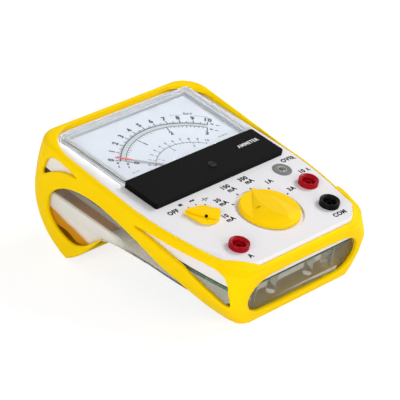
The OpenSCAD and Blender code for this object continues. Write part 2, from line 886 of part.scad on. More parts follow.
// Pointer: a hub on the staff, a tail with three arms, and a blade that steps up over the scale
module pointer() {
    step_in = plate_cut_r - 5.6;
    step_out = plate_cut_r - 1.6;
    color("firebrick")
        turned_to_zero()
            difference() {
                union() {
                    disc(hub_r, hub_bottom, hub_top);
                    block(0, step_in, -0.8, 0.8, hub_bottom, hub_bottom + 0.5);
                    rotate([90, 0, 0])
                        linear_extrude(1.6, center = true)
                            polygon([
                                [step_in - eps, hub_bottom], [step_out, blade_bottom],
                                [step_out + 1, blade_bottom], [step_out + 1, blade_top],
                                [step_out - 0.4, blade_top], [step_in - eps, hub_bottom + 0.5]
                            ]);
                    translate([0, 0, blade_bottom])
                        linear_extrude(blade_top - blade_bottom)
                            polygon([
                                [step_out, -0.8], [pointer_l, -0.3], [pointer_l, 0.3], [step_out, 0.8]
                            ]);
                    for (a = [90, 180, 270])
                        rotate([0, 0, a]) block(0, tail_r, -0.35, 0.35, hub_bottom, hub_top);
                }
                disc(staff_r, hub_bottom - 1, hub_top + 1);
            }
}
module balance_weights() {
    color("darkgoldenrod")
        turned_to_zero()
            for (a = [90, 180, 270])
                rotate([0, 0, a])
                    block(tail_r, tail_r + weight_l, -0.9, 0.9, hub_bottom - 0.3, hub_top);
}
// Hairspring: a flat spiral, hung from the zero arm by a stud at its outer end
module hairspring() {
    turns = 3;
    r_in = 1.2;
    r_out = 3.6;
    strip = 0.2;
    arc = [for (a = [0 : 12 : 360 * turns]) a];
    function at_turn(a) = mix(r_in, r_out, a / (360 * turns));
    color("steelblue")
        on_pivot() {
            translate([0, 0, spring_bottom])
                linear_extrude(spring_h)
                    polygon(concat(
                        [for (a = arc) (at_turn(a) + strip) * [cos(a), sin(a)]],
                        [for (i = [len(arc) - 1 : -1 : 0]) at_turn(arc[i]) * [cos(arc[i]), sin(arc[i])]]
                    ));
            block(r_out - 0.1, r_out + strip + 0.1, -0.3, 0.3, spring_bottom, arm_bottom);
        }
}
// Zero arm: turns on the upper bridge's boss, with a fork round the zero screw's pin
module zero_arm() {
    fork = zero_u + zero_throw;
    slot = zero_pin_r + 0.12;
    color("silver")
        on_pivot()
            difference() {
                union() {
                    disc(cock_boss_r + 1.4, arm_bottom, arm_top);
                    block(0, fork + 1.6, -slot - 0.7, slot + 0.7, arm_bottom, arm_top);
                }
                disc(cock_boss_r + run_gap, 0, 2);
                block(fork - 1.4, fork + 2, -slot, slot, 0, 2);
            }
}
// Zero screw: a slotted head in the dial cover, with an offset pin below
module zero_screw() {
    color("black")
        stand()
            at([zero_u, pivot_v])
                difference() {
                    union() {
                        disc(zero_r, lens_h - 0.7, lens_h + 0.5);
                        disc(zero_r - 1, lens_h - lens_t - 0.3, lens_h);
                        at([zero_throw, 0]) disc(zero_pin_r, arm_bottom, lens_h - 1);
                    }
                    block(-big, big, -0.4, 0.4, lens_h - 0.2, big);
                }
}

// Outline of two arcs that meet in points, w to each side of the middle and l to each point
module eye(w, l) {
    r = (w * w + l * l) / (2 * w);
    intersection_for (s = [-1, 1])
        translate([0, s * (r - w)])
            circle(r = r, $fn = 120);
}
// Grip with two arched flanks that lean in
module eye_grip(w, l, z0, z1, lean) {
    r = (w * w + l * l) / (2 * w);
    intersection_for (s = [-1, 1])
        translate([0, s * (r - w), z0])
            cylinder(r1 = r, r2 = r - lean, h = z1 - z0, $fn = 120);
}
module on_range() {
    stand()
        translate([range_u, range_v, -range_recess])
            rotate([0, 0, 90 - range_step / 2])
                children();
}
// Range knob: a disc whose grip rises from the point to a tall end, between flanks that fan out
module range_knob() {
    rear_end = range_r - 0.6;
    half_l = (range_tip + rear_end) / 2;
    slope = asin((range_grip_h - range_disc_h) / (2 * half_l));
    color("gold")
        on_range()
            difference() {
                union() {
                    disc(range_r, knob_gap, range_disc_h - 0.8);
                    translate([0, 0, range_disc_h - 0.8])
                        cylinder(r1 = range_r, r2 = range_r - 0.8, h = 0.8);
                    hull() {
                        translate([range_tip, 0, range_disc_h])
                            rotate([0, slope, 0])
                                translate([-half_l, 0, -grip_skin])
                                    linear_extrude(grip_skin)
                                        eye(range_grip_w, half_l);
                        translate([0, 0, range_disc_h - grip_skin])
                            linear_extrude(grip_skin)
                                intersection() {
                                    circle(r = range_r - 0.8, $fn = 60);
                                    polygon([
                                        [range_tip, 0], [-range_r, (range_tip + range_r) * tan(range_fan)],
                                        [-range_r, -(range_tip + range_r) * tan(range_fan)]
                                    ]);
                                }
                        translate([range_tip - 2, 0, knob_gap])
                            linear_extrude(range_disc_h - knob_gap)
                                polygon([[0, -1.2], [2, 0], [0, 1.2]]);
                    }
                }
                knob_bore(range_shaft_top);
                set_screw_hole(range_r - 5, range_set_z);
            }
}
// Room under a knob for the nut, and the bore for the shaft
module knob_bore(top) {
    disc(knob_recess_r, 0, knob_recess_h);
    disc(shaft_r, 0, top);
}
module set_screw_hole(reach, z) {
    translate([0, 0, z])
        rotate([-90, 0, 0])
            cylinder(r = set_screw_r, h = reach + 1);
}
// Set screw: a slotted grub that bears on the shaft, l long
module set_screw(l, z) {
    translate([0, shaft_r, z])
        rotate([-90, 0, 0])
            difference() {
                cylinder(r = set_screw_r, h = l);
                translate([-big, -0.2, l - 0.5])
                    cube([2 * big, 0.4, big]);
            }
}
module range_set_screw() {
    color("black")
        on_range() set_screw(1.4, range_set_z);
}
module range_shaft() {
    color("silver")
        on_range() disc(shaft_r, range_recess - board_depth + 1, range_shaft_top);
}
// Wiper: a disc on the shaft with two sprung fingers over the board
module wiper(r) {
    difference() {
        union() {
            disc(r, wiper_bottom, wiper_top);
            for (a = [0, 180])
                rotate([0, 0, a])
                    block(r - 3.4, r - 1.6, -1.2, 1.2, -board_depth + wiper_gap, wiper_bottom);
        }
        disc(shaft_r, -big, big);
    }
}
module range_wiper() {
    color("peru")
        stand()
            at([range_u, range_v])
                rotate([0, 0, 90 - range_step / 2])
                    wiper(range_body_r - switch_wall - 1);
}
// Switch housing: a cup that stands on the board, with a bush up through the panel for a nut at
// height seat
module switch_cup(r, seat) {
    difference() {
        union() {
            disc(r, -board_depth, panel_under);
            disc(bush_r, panel_under - eps, seat + nut_h + 0.2);
        }
        disc(r - switch_wall, -board_depth - 1, panel_under - switch_wall);
        disc(shaft_r + run_gap, -big, big);
    }
}
module range_switch() {
    color("darkslategray")
        stand()
            at([range_u, range_v])
                switch_cup(range_body_r, -range_recess);
}
module bush_nut() {
    difference() {
        cylinder(r = bush_r + 2.6, h = nut_h, $fn = 6);
        disc(bush_r, -1, nut_h + 1);
    }
}
module range_nut() {
    color("silver")
        on_range() bush_nut();
}

// Function knob: a skirt drawn out to a point, with a blunt grip between two hollowed flanks
module function_knob() {
    color("gold")
        stand()
            at([function_u, function_v])
                rotate([0, 0, 90 + function_rest])
                    difference() {
                        union() {
                            function_skirt(function_skirt_h);
                            intersection() {
                                function_skirt(function_grip_h);
                                translate([function_tip - 0.5 - function_grip_l, 0, 0])
                                    eye_grip(function_grip_w, function_grip_l, knob_gap, function_grip_h, 0.8);
                            }
                        }
                        knob_bore(function_grip_h - knob_top_t);
                        set_screw_hole(function_r, set_screw_z);
                    }
}
module function_skirt(top) {
    tip_r = 0.6;
    hull() {
        disc(function_r, knob_gap, top);
        at([function_tip - tip_r, 0]) disc(tip_r, knob_gap, top);
    }
}
module function_set_screw() {
    color("black")
        stand()
            at([function_u, function_v])
                rotate([0, 0, 90 + function_rest])
                    set_screw(1.2, set_screw_z);
}
module function_shaft() {
    color("silver")
        stand()
            at([function_u, function_v])
                disc(shaft_r, -board_depth + 1, function_grip_h - knob_top_t);
}
module function_wiper() {
    color("peru")
        stand()
            at([function_u, function_v])
                rotate([0, 0, 90 + function_rest])
                    wiper(function_body_r - switch_wall - 1);
}
module function_switch() {
    color("darkslategray")
        stand()
            at([function_u, function_v])
                switch_cup(function_body_r, 0);
}
module function_nut() {
    color("silver")
        stand()
            at([function_u, function_v])
                bush_nut();
}

// Sockets: an insulating barrel with a flange, and a tube contact in its well
module socket_barrel() {
    difference() {
        union() {
            disc(flange_r, 0, flange_h - 0.8);
            translate([0, 0, flange_h - 0.8])
                cylinder(r1 = flange_r, r2 = flange_r - 0.8, h = 0.8);
            disc(barrel_r, -barrel_depth, eps);
        }
        disc(well_r, -barrel_depth + 1.5, flange_h + 1);
        disc(contact_r, -barrel_depth - 1, 0);
    }
}
module socket_a() {
    color("crimson")
        stand() at(SOCKETS[0]) socket_barrel();
}
module socket_10a() {
    color("crimson")
        stand() at(SOCKETS[1]) socket_barrel();
}
module socket_com() {
    color([0.1, 0.1, 0.1])
        stand() at(SOCKETS[2]) socket_barrel();
}
module socket_contacts() {
    color("goldenrod")
        stand()
            for (p = SOCKETS)
                at(p) difference() {
                    union() {
                        disc(contact_r, -barrel_depth - 1, -2);
                        disc(contact_r + 1.2, -barrel_depth - 1, -barrel_depth);
                        disc(1, -board_depth, -barrel_depth - 1 + eps);
                    }
                    disc(contact_bore_r, -barrel_depth, 0);
                }
}
module socket_nuts() {
    color("silver")
        stand()
            for (p = SOCKETS)
                at(p) difference() {
                    translate([0, 0, panel_under - 3])
                        cylinder(r = barrel_r + 2.6, h = 3, $fn = 6);
                    disc(barrel_r, -big, 1);
                }
}

// Overload lamp: a stepped bezel round a clear lens, over a light-emitting diode
module lamp_bezel() {
    color("darkgray")
        stand()
            at([lamp_u, lamp_v])
                difference() {
                    union() {
                        disc(lamp_r, 0, 0.5);
                        disc(lamp_r - 1.2, 0, 0.9);
                        disc(lamp_r - 1.7, -9, eps);
                    }
                    disc(lamp_lens_r, -10, 2);
                    disc(lamp_lens_r + 0.8, 0.6, 2);
                }
}
module lamp_lens() {
    color([0.8, 0.8, 0.8, 0.6])
        stand()
            at([lamp_u, lamp_v])
                disc(lamp_lens_r, -5, 0.8);
}
module lamp_led() {
    color("tomato")
        stand()
            at([lamp_u, lamp_v]) {
                disc(2.5, -10.2, -5);
                disc(2.9, -11.2, -10.2 + eps);
                for (s = [-1, 1])
                    at([1.27 * s, 0]) disc(0.3, -board_depth, -11.2 + eps);
            }
}

// Circuit board: fills the tub under the panel, in front of the meter
module circuit_board() {
    color("seagreen")
        stand()
            translate([0, 0, -board_depth - board_t])
                linear_extrude(board_t)
                    difference() {
                        intersection() {
                            polygon(outline(-board_depth - board_t, inner_in + 0.8));
                            translate([-big, -big])
                                square([2 * big, big - 1.5]);
                        }
                        for (p = CASE_SCREWS)
                            translate(p) circle(boss_r + 0.6 + seat_gap);
                        for (p = BOARD_SCREWS)
                            translate(p) circle(1.5);
                    }
}
module board_screws() {
    color("silver")
        stand()
            for (p = BOARD_SCREWS)
                at(p) difference() {
                    union() {
                        disc(1.4, -board_depth - board_t, -board_depth);
                        disc(2.6, -board_depth, -board_depth + 1.6);
                    }
                    block(-3, 3, -0.3, 0.3, -board_depth + 0.8, 0);
                }
}
// Fuse and its clips, under the board
fuse_n = -board_depth - board_t - fuse_r - 2.4;
fuse_v = -18;
module along_fuse(r, u0, u1) {
    translate([u0, fuse_v, fuse_n])
        rotate([0, 90, 0])
            cylinder(r = r, h = u1 - u0);
}
module fuse() {
    color("gainsboro")
        stand() {
            along_fuse(fuse_r, -fuse_l / 2 + 6, fuse_l / 2 - 6);
            for (s = [0, 1])
                along_fuse(fuse_r + 0.15, s ? fuse_l / 2 - 6 : -fuse_l / 2, s ? fuse_l / 2 : -fuse_l / 2 + 6);
        }
}
module fuse_clips() {
    color("goldenrod")
        stand()
            for (s = [-1, 1])
                difference() {
                    translate([s * (fuse_l / 2 - 3), 0, 0])
                        block(-2.2, 2.2, fuse_v - fuse_r - 1, fuse_v + fuse_r + 1,
                            fuse_n - 1.6, -board_depth - board_t);
                    along_fuse(fuse_r + 0.15, -fuse_l, fuse_l);
                    block(-big, big, fuse_v - 2, fuse_v + 2, fuse_n - 5, fuse_n);
                }
}
// Shunt: a bent bar under the 10 A socket
module shunt_bar() {
    top = -board_depth - board_t;
    color("sienna")
        stand()
            rotate([90, 0, 0])
                translate([0, 0, 42])
                    linear_extrude(5)
                        polygon([
                            [24, top], [24, top - 8], [50, top - 8], [50, top], [48, top],
                            [48, top - 6], [26, top - 6], [26, top]
                        ]);
}

// Battery, its cradle on the rump's floor, and the snap on its end
module battery() {
    color("dimgray")
        stand()
            slab(-battery_l / 2, battery_l / 2, battery_v0, battery_v0 + battery_w, battery_n0,
                battery_n0 + battery_h, 1.5);
}
module battery_cradle() {
    half = battery_l / 2;
    color("white")
        stand()
            difference() {
                block(-half - cradle_t, half, battery_v0 + 11.5, battery_v0 + battery_w + cradle_t,
                    battery_n0 - cradle_t, battery_n0 + 8);
                slab(-half, big, 0, battery_v0 + battery_w, battery_n0, big, 1.5);
            }
}
module battery_snap() {
    mid = battery_n0 + battery_h / 2;
    color("black")
        stand()
            block(battery_l / 2, battery_l / 2 + 4, battery_v0 + 3, battery_v0 + battery_w - 3, mid - 6, mid + 6);
}

bumper_boot();
top_shell();
bottom_shell();
shell_gasket();
case_screws();
meter_housing();
meter_lens();
dial_cover();
scale_plate();
scale_screws();
movement_yoke();
core_magnet();
upper_bridge();
lower_bridge();
upper_jewel();
lower_jewel();
coil_staff();
moving_coil();
pointer();
balance_weights();
hairspring();
zero_arm();
zero_screw();
range_knob();
range_set_screw();
range_shaft();
range_wiper();
range_switch();
range_nut();
function_knob();
function_set_screw();
function_shaft();
function_wiper();
function_switch();
function_nut();
socket_a();
socket_10a();
socket_com();
socket_contacts();
socket_nuts();
lamp_bezel();
lamp_lens();
lamp_led();
circuit_board();
board_screws();
fuse();
fuse_clips();
shunt_bar();
battery();
battery_cradle();
battery_snap();
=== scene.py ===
"""Looks of an analogue bench ammeter in a yellow bumper boot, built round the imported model."""

import logging
import math
from dataclasses import dataclass
from enum import Enum
from typing import Iterable, Sequence

import bmesh
import bpy
from mathutils import Matrix, Vector
from mathutils.bvhtree import BVHTree


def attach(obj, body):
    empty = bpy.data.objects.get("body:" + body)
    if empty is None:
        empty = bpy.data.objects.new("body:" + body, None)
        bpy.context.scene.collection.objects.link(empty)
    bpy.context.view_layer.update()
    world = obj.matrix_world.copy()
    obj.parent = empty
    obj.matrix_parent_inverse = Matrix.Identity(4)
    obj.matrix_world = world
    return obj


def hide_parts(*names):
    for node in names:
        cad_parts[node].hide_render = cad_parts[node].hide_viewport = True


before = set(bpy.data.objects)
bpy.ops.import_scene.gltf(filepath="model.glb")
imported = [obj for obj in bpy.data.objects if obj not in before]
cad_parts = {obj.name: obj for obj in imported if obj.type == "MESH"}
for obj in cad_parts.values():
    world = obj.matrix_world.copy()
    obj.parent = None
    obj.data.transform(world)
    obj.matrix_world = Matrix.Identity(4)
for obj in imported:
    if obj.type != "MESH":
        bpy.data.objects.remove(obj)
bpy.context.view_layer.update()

LOG = logging.getLogger("ammeter")
MM = 0.001
# The panel's tilt, where its origin stands in millimetres, and the way from its frame to the world
TILT = math.radians(13.8)
STAND = Vector((0.0, -16.8619, 62.0223))
PANEL = Matrix.Scale(MM, 4) @ Matrix.Translation(STAND) @ Matrix.Rotation(TILT, 4, "X")
# The axis of the meter's movement on the panel
PIVOT = (0.0, 13.6)
# Letters stand apart by this many times the thickening of their strokes, and a curve of theirs
# has so many facets
SPACING = 2.2
LETTER_FACETS = 3
# Points nearer than these are one, in a drawn mesh and in a copy of a node
WELD = 0.0005
NODE_WELD = 0.002
# The turn between two facets of an arc in degrees, and the height that prints are laid from
ARC_STEP = 2.5
ABOVE = 8.0
# The middle of a noise's range, a whole range, and the octaves of a fine grain
NOISE_SPAN = (0.3, 0.7)
WHOLE_SPAN = (0.0, 1.0)
FINE = 3.0
Colour = tuple[float, float, float]
Triple = tuple[float, float, float]
Point = tuple[float, float]
Profile = tuple[Point, ...]
Socket = bpy.types.NodeSocket
Feed = float | Sequence[float] | Socket


class Body(Enum):
    """The bodies that the pieces ride on."""

    CASE = "case"
    RANGE = "range_control"
    FUNCTION = "function_control"
    MOVEMENT = "movement"
    ZERO = "zero_adjuster"


def stand(name: str, data: bpy.types.ID) -> bpy.types.Object:
    """Add an object to the scene.

    Args:
        name: the object's name.
        data: its mesh, lamp, camera or lettering.

    Returns:
        The object.
    """
    item = bpy.data.objects.new(name, data)
    bpy.context.scene.collection.objects.link(item)
    return item


def shade(colour: Colour, factor: float) -> Colour:
    """Scale a linear colour, to at most 1."""
    return tuple(min(1.0, c * factor) for c in colour)


class Graph:
    """The nodes of a material or a world, with short calls for those that are used often."""

    def __init__(self, owner: bpy.types.Material | bpy.types.World) -> None:
        """Start with no nodes.

        Args:
            owner: the material or the world.
        """
        owner.use_nodes = True
        self.owner = owner
        self.tree = owner.node_tree
        self.tree.nodes.clear()

    def node(
        self, kind: str, *ordered: Feed, mode: tuple[str, str] | None = None, **named: Feed
    ) -> bpy.types.bpy_prop_collection:
        """Add a node and feed its inputs with sockets, numbers, vectors or colours.

        Args:
            kind: the node's type, without the prefix that all types share.
            ordered: what feeds the first inputs.
            mode: a property that is set first, and its value.
            named: what feeds other inputs, with underscores for the spaces in their names.

        Returns:
            The node's outputs.
        """
        node = self.tree.nodes.new(f"ShaderNode{kind}")
        if mode:
            setattr(node, *mode)
        pairs = list(zip(node.inputs, ordered))
        pairs += [(node.inputs[name.replace("_", " ")], feed) for name, feed in named.items()]
        for target, feed in pairs:
            if isinstance(feed, Socket):
                self.tree.links.new(feed, target)
            elif isinstance(target, bpy.types.NodeSocketColor):
                target.default_value = (*feed, 1.0)
            else:
                target.default_value = feed
        return node.outputs

    def place(self) -> Socket:
        """Give the Object coordinates."""
        return self.node("TexCoord")["Object"]

    def noise(self, scale: float, detail: float = 2.0, stretch: Triple = (1.0, 1.0, 1.0)) -> Socket:
        """Give a noise with so many features per metre, on stretched Object coordinates."""
        mapped = self.node("Mapping", Vector=self.place(), Scale=stretch)["Vector"]
        return self.node("TexNoise", Vector=mapped, Scale=scale, Detail=detail)["Fac"]

    def spread(self, value: Socket, low: float, high: float, span: Point = NOISE_SPAN) -> Socket:
        """Map a span of a value to the range from low to high."""
        ends = {"From_Min": span[0], "From_Max": span[1], "To_Min": low, "To_Max": high}
        return self.node("MapRange", Value=value, **ends)["Result"]

    def blend(self, factor: Socket, first: Feed, second: Feed) -> Socket:
        """Blend two colours, from the first at a factor of 0 to the second at 1."""
        kind = ("data_type", "RGBA")
        return self.node("Mix", mode=kind, Factor=factor, A=first, B=second)["Result"]

    def bump(self, height: Socket, strength: float, distance: float) -> Socket:
        """Give the normal of a relief whose full height is a distance in metres."""
        return self.node("Bump", Height=height, Strength=strength, Distance=distance)["Normal"]

    def math(self, operation: str, first: Socket, second: Socket) -> Socket:
        """Join two values by an operation."""
        return self.node("Math", first, second, mode=("operation", operation))["Value"]

    def ramp(self, way: Vector, first: float, last: float) -> Socket:
        """Grade from 0 to 1 along a direction, between two distances from the panel's origin.

        Args:
            way: the direction, a unit vector of the frame.
            first: where the grade is 0, in millimetres.
            last: where it is 1, in millimetres.

        Returns:
            The grade's socket.
        """
        along = self.node("VectorMath", self.place(), way, mode=("operation", "DOT_PRODUCT"))
        low, high = ((mark + way.dot(STAND)) * MM for mark in (first, last))
        kind = ("interpolation_type", "SMOOTHSTEP")
        grade = self.node("MapRange", along["Value"], mode=kind, From_Min=low, From_Max=high)
        return grade["Result"]

    def principled(self, **named: Feed) -> Socket:
        """Give a Principled shader with these inputs."""
        return self.node("BsdfPrincipled", **named)["BSDF"]

    def mixed(self, factor: Socket, first: Socket, second: Socket) -> Socket:
        """Mix two shaders, from the first at a factor of 0 to the second at 1."""
        return self.node("MixShader", factor, first, second)["Shader"]

    def lit_through(self, shader: Socket, tint: Colour) -> Socket:
        """Let the lamps' light through a shader, which only tints it."""
        through = self.node("BsdfTransparent", Color=tint)["BSDF"]
        return self.mixed(self.node("LightPath")["Is Shadow Ray"], shader, through)

    def seen(self) -> Socket:
        """Tell the rays that see the background from the rays that light the object.

        Returns:
            A socket that is 1 for camera, glossy and transmission rays.
        """
        path = self.node("LightPath")
        total = path["Is Camera Ray"]
        for name in ("Is Glossy Ray", "Is Transmission Ray"):
            total = self.math("MAXIMUM", total, path[name])
        return total

    def close(self, shader: Socket) -> bpy.types.Material:
        """Send a shader to the output, and give the finished material."""
        self.node("OutputMaterial", shader)
        return self.owner


@dataclass(frozen=True)
class MouldedFinish:
    """Moulded plastic or rubber with a fine grain and a faint mottle."""

    name: str
    colour: Colour
    roughness: float = 0.4
    mottle: float = 0.03
    grain: float = 1400.0
    relief: float = 0.06
    specular: float = 0.5
    uneven: float = 0.05
    mottle_scale: float = 0.02
    grain_height: float = 0.0002

    def material(self) -> bpy.types.Material:
        """Build the material.

        Returns:
            The finished material.
        """
        graph = Graph(bpy.data.materials.new(self.name))
        fine = graph.noise(self.grain, FINE)
        broad = graph.spread(graph.noise(self.grain * self.mottle_scale), 0.0, 1.0)
        dark, pale = shade(self.colour, 1 - self.mottle), shade(self.colour, 1 + self.mottle)
        least, most = self.roughness - self.uneven, self.roughness + self.uneven
        return graph.close(graph.principled(
            Base_Color=graph.blend(broad, dark, pale), Specular_IOR_Level=self.specular,
            Roughness=graph.spread(fine, least, most),
            Normal=graph.bump(fine, self.relief, self.grain_height),
        ))


@dataclass(frozen=True)
class ClearFinish:
    """Clear moulded plastic or glass that lets lamps through."""

    name: str
    tint: Colour
    roughness: float = 0.04
    ior: float = 1.49
    flow: float = 0.02
    shadow: float = 0.92
    clear: float = 1.0
    wave_scale: float = 60.0
    wave_detail: float = 1.0
    wave_height: float = 0.002

    def material(self) -> bpy.types.Material:
        """Build the material.

        Returns:
            The finished material.
        """
        graph = Graph(bpy.data.materials.new(self.name))
        waves = graph.noise(self.wave_scale, self.wave_detail)
        shader = graph.principled(
            Base_Color=self.tint, Transmission_Weight=self.clear, IOR=self.ior,
            Roughness=self.roughness, Normal=graph.bump(waves, self.flow, self.wave_height),
        )
        return graph.close(graph.lit_through(shader, shade(self.tint, self.shadow)))


@dataclass(frozen=True)
class CaseFinish:
    """Clear plastic with painted light: frosted and painted pale on the deep rear part, and painted
    amber for lit rubber where it lies in the heel.
    """

    name: str
    tint: Colour
    frost_and_painted_glow: Colour
    painted_lit_heel: Colour
    shadow: float = 0.97
    ior: float = 1.14
    deep_from: Point = (-29.0, -33.0)
    rear_from: Point = (5.0, 30.0)
    heel_way: Triple = (0.0, -0.567, 0.824)
    heel_line: Point = (-70.0, -67.8)
    roughness: Point = (0.06, 0.4)
    clear: Point = (0.95, 0.4)

    def material(self) -> bpy.types.Material:
        """Build the material.

        Returns:
            The finished material.
        """
        graph = Graph(bpy.data.materials.new(self.name))
        # The deep rear part is frosted, and its pale colour is painted light standing in for light
        # that comes through the case from behind.
        below = graph.ramp(Vector((0, -math.sin(TILT), math.cos(TILT))), *self.deep_from)
        behind = graph.ramp(Vector((0, math.cos(TILT), math.sin(TILT))), *self.rear_from)
        frost_and_glow_share = graph.math("MULTIPLY", below, behind)
        # Where the case lies in the heel it is painted amber, the colour of lit yellow rubber seen
        # through it, because the heel inside lies in shade.
        painted_heel_share = graph.ramp(Vector(self.heel_way), *self.heel_line)
        shader = graph.principled(
            Base_Color=graph.blend(frost_and_glow_share, self.tint, graph.blend(painted_heel_share, self.painted_lit_heel, self.frost_and_painted_glow)),
            Roughness=graph.spread(frost_and_glow_share, *self.roughness, WHOLE_SPAN), IOR=self.ior,
            Transmission_Weight=graph.spread(frost_and_glow_share, *self.clear, WHOLE_SPAN),
        )
        return graph.close(graph.lit_through(shader, shade(self.frost_and_painted_glow, self.shadow)))


@dataclass(frozen=True)
class MetalFinish:
    """Bare metal with a brushed grain."""

    name: str
    colour: Colour
    roughness: float = 0.3
    brush: float = 700.0
    stretch: Triple = (1.0, 12.0, 1.0)
    shades: Point = (0.86, 1.1)
    uneven: Point = (-0.08, 0.1)
    relief: float = 0.05
    grain_height: float = 0.0001

    def material(self) -> bpy.types.Material:
        """Build the material.

        Returns:
            The finished material.
        """
        graph = Graph(bpy.data.materials.new(self.name))
        lines = graph.noise(self.brush, FINE, self.stretch)
        dark, pale = (shade(self.colour, factor) for factor in self.shades)
        least, most = (self.roughness + step for step in self.uneven)
        return graph.close(graph.principled(
            Base_Color=graph.blend(graph.spread(lines, 0.0, 1.0), dark, pale), Metallic=1.0,
            Roughness=graph.spread(lines, least, most),
            Normal=graph.bump(lines, self.relief, self.grain_height),
        ))


@dataclass(frozen=True)
class InkFinish:
    """Screen-printed ink, a little uneven in density."""

    name: str
    colour: Colour
    thinned: float = 0.02
    grain: float = 2600.0
    roughness: float = 0.55
    specular: float = 0.05

    def material(self) -> bpy.types.Material:
        """Build the material.

        Returns:
            The finished material.
        """
        graph = Graph(bpy.data.materials.new(self.name))
        density = graph.spread(graph.noise(self.grain), 0.0, 1.0)
        thin = tuple(c + (1.0 - c) * self.thinned for c in self.colour)
        return graph.close(graph.principled(
            Base_Color=graph.blend(density, self.colour, thin), Roughness=self.roughness,
            Specular_IOR_Level=self.specular,
        ))


@dataclass(frozen=True)
class BoardFinish:
    """Green solder mask over copper tracks."""

    name: str
    mask: Colour
    track: Colour
    tracks: float = 90.0
    track_width: float = 0.03
    darker: float = 0.8
    coat: float = 0.4
    coat_roughness: float = 0.2
    grain: float = 400.0
    roughness: Point = (0.3, 0.45)

    def material(self) -> bpy.types.Material:
        """Build the material.

        Returns:
            The finished material.
        """
        graph = Graph(bpy.data.materials.new(self.name))
        bricks = graph.node(
            "TexBrick", graph.place(), Color1=self.mask, Color2=shade(self.mask, self.darker),
            Mortar=self.track, Scale=self.tracks, Mortar_Size=self.track_width,
        )
        return graph.close(graph.principled(
            Base_Color=bricks["Color"], Coat_Weight=self.coat, Coat_Roughness=self.coat_roughness,
            Roughness=graph.spread(graph.noise(self.grain), *self.roughness),
        ))


Finish = MouldedFinish | ClearFinish | CaseFinish | MetalFinish | InkFinish | BoardFinish

BLACK_INK = InkFinish("black_ink", (0.012, 0.012, 0.014))
GREY_INK = InkFinish("grey_ink", (0.1, 0.105, 0.11))
# The dial's mirror band is grey-green ink: a painted reflection.
MIRROR_BAND_PAINT = InkFinish("mirror_band_painted_reflection", (0.33, 0.37, 0.36))
WHITE_INK = InkFinish("white_ink", (0.82, 0.83, 0.85))
SHAFT_ENAMEL = MouldedFinish("shaft_enamel", (0.36, 0.36, 0.37), 0.4, specular=0.1)
# The lens's far walls are made grey: painted shade.
LENS_WALL_SHADE = ClearFinish("lens_wall_painted_shade", (0.62, 0.64, 0.66), 0.3, 1.2, 0.0, 1.3, 0.45)
SCREW_FACE = MouldedFinish("screw_plastic", (0.008, 0.008, 0.008), 0.3, specular=0.14)
LAMP_RING = MouldedFinish("lamp_ring", (0.4, 0.4, 0.38), 0.35)
LAMP_CENTRE = MouldedFinish("lamp_centre", (0.1, 0.1, 0.095), 0.25, specular=0.3)

SLOT_FINISHES: dict[str, Finish] = {
    "boot_yellow": MouldedFinish("boot_rubber", (1.0, 0.66, 0.0), 0.5, 0.02, 1800.0, 0.08, 0.05),
    "panel_white": MouldedFinish(
        "panel_plastic", (0.80, 0.79, 0.81), 0.38, 0.012, 1600.0, 0.05, 0.3
    ),
    # The case's dark beige tint is partly the plastic's own grey and partly painted shade,
    # darkening what shows through its windows like the shaded floor under it; its pale frost colour
    # and its amber are painted light.
    "case_clear": CaseFinish(
        "case_plastic_painted_light", (0.67, 0.65, 0.59), (0.9, 0.89, 0.85), (0.75, 0.36, 0.01)
    ),
    "gasket_dark": MouldedFinish("gasket_rubber", (0.03, 0.03, 0.03), 0.6),
    "steel": MetalFinish("steel", (0.62, 0.63, 0.64)),
    "housing_grey": MouldedFinish("housing_plastic", (0.34, 0.35, 0.35), 0.5),
    "lens_clear": ClearFinish("lens_plastic", (0.95, 0.96, 0.98), 0.01, 1.22, 0.0, 0.96),
    "cover_black": MouldedFinish(
        "cover_plastic", (0.004, 0.004, 0.004), 0.45, 0.1, 2200.0, 0.06, 0.03
    ),
    "scale_white": MouldedFinish("scale_enamel", (0.44, 0.46, 0.485), 0.5, 0.006, specular=0.05),
    "iron": MetalFinish("soft_iron", (0.2, 0.21, 0.22), 0.45),
    "brass": MetalFinish("brass", (0.78, 0.58, 0.24), 0.28),
    "ruby": ClearFinish("ruby", (0.7, 0.04, 0.12), 0.05, 1.76),
    "copper": MetalFinish("copper_wire", (0.72, 0.36, 0.18), 0.35, 1600.0),
    "pointer_red": MouldedFinish("pointer_enamel", (0.72, 0.05, 0.04), 0.4),
    "knob_yellow": MouldedFinish("knob_plastic", (1.0, 0.63, 0.0), 0.42, 0.02, 1800.0, 0.05, 0.08),
    "screw_black": MetalFinish("blackened_steel", (0.03, 0.03, 0.03), 0.4),
    "phenolic": MouldedFinish("phenolic_board", (0.3, 0.17, 0.08), 0.5, 0.12, 500.0),
    "switch_dark": MouldedFinish("switch_plastic", (0.09, 0.1, 0.11), 0.5),
    "socket_red": MouldedFinish(
        "socket_red_plastic", (0.34, 0.0, 0.007), 0.3, 0.04, 1800.0, 0.05, 0.1
    ),
    "socket_black": MouldedFinish(
        "socket_black_plastic", (0.003, 0.003, 0.003), 0.3, 0.1, 1800.0, 0.05, 0.07
    ),
    "lamp_grey": MouldedFinish("lamp_plastic", (0.19, 0.195, 0.185), 0.35, specular=0.2),
    "lamp_clear": ClearFinish("lamp_window", (0.5, 0.52, 0.52), 0.3, 1.4, 0.02, 0.92, 0.5),
    "led_red": MouldedFinish("diode_resin", (0.6, 0.08, 0.06), 0.15),
    "board_green": BoardFinish("circuit_board_mask", (0.02, 0.22, 0.09), (0.05, 0.32, 0.14)),
    "fuse_glass": ClearFinish("fuse_glass", (0.9, 0.93, 0.92), 0.02, 1.5),
    "battery_case": MouldedFinish("battery_sleeve", (0.12, 0.13, 0.15), 0.35),
    "cradle_white": MouldedFinish("cradle_plastic", (0.76, 0.75, 0.72), 0.5),
}


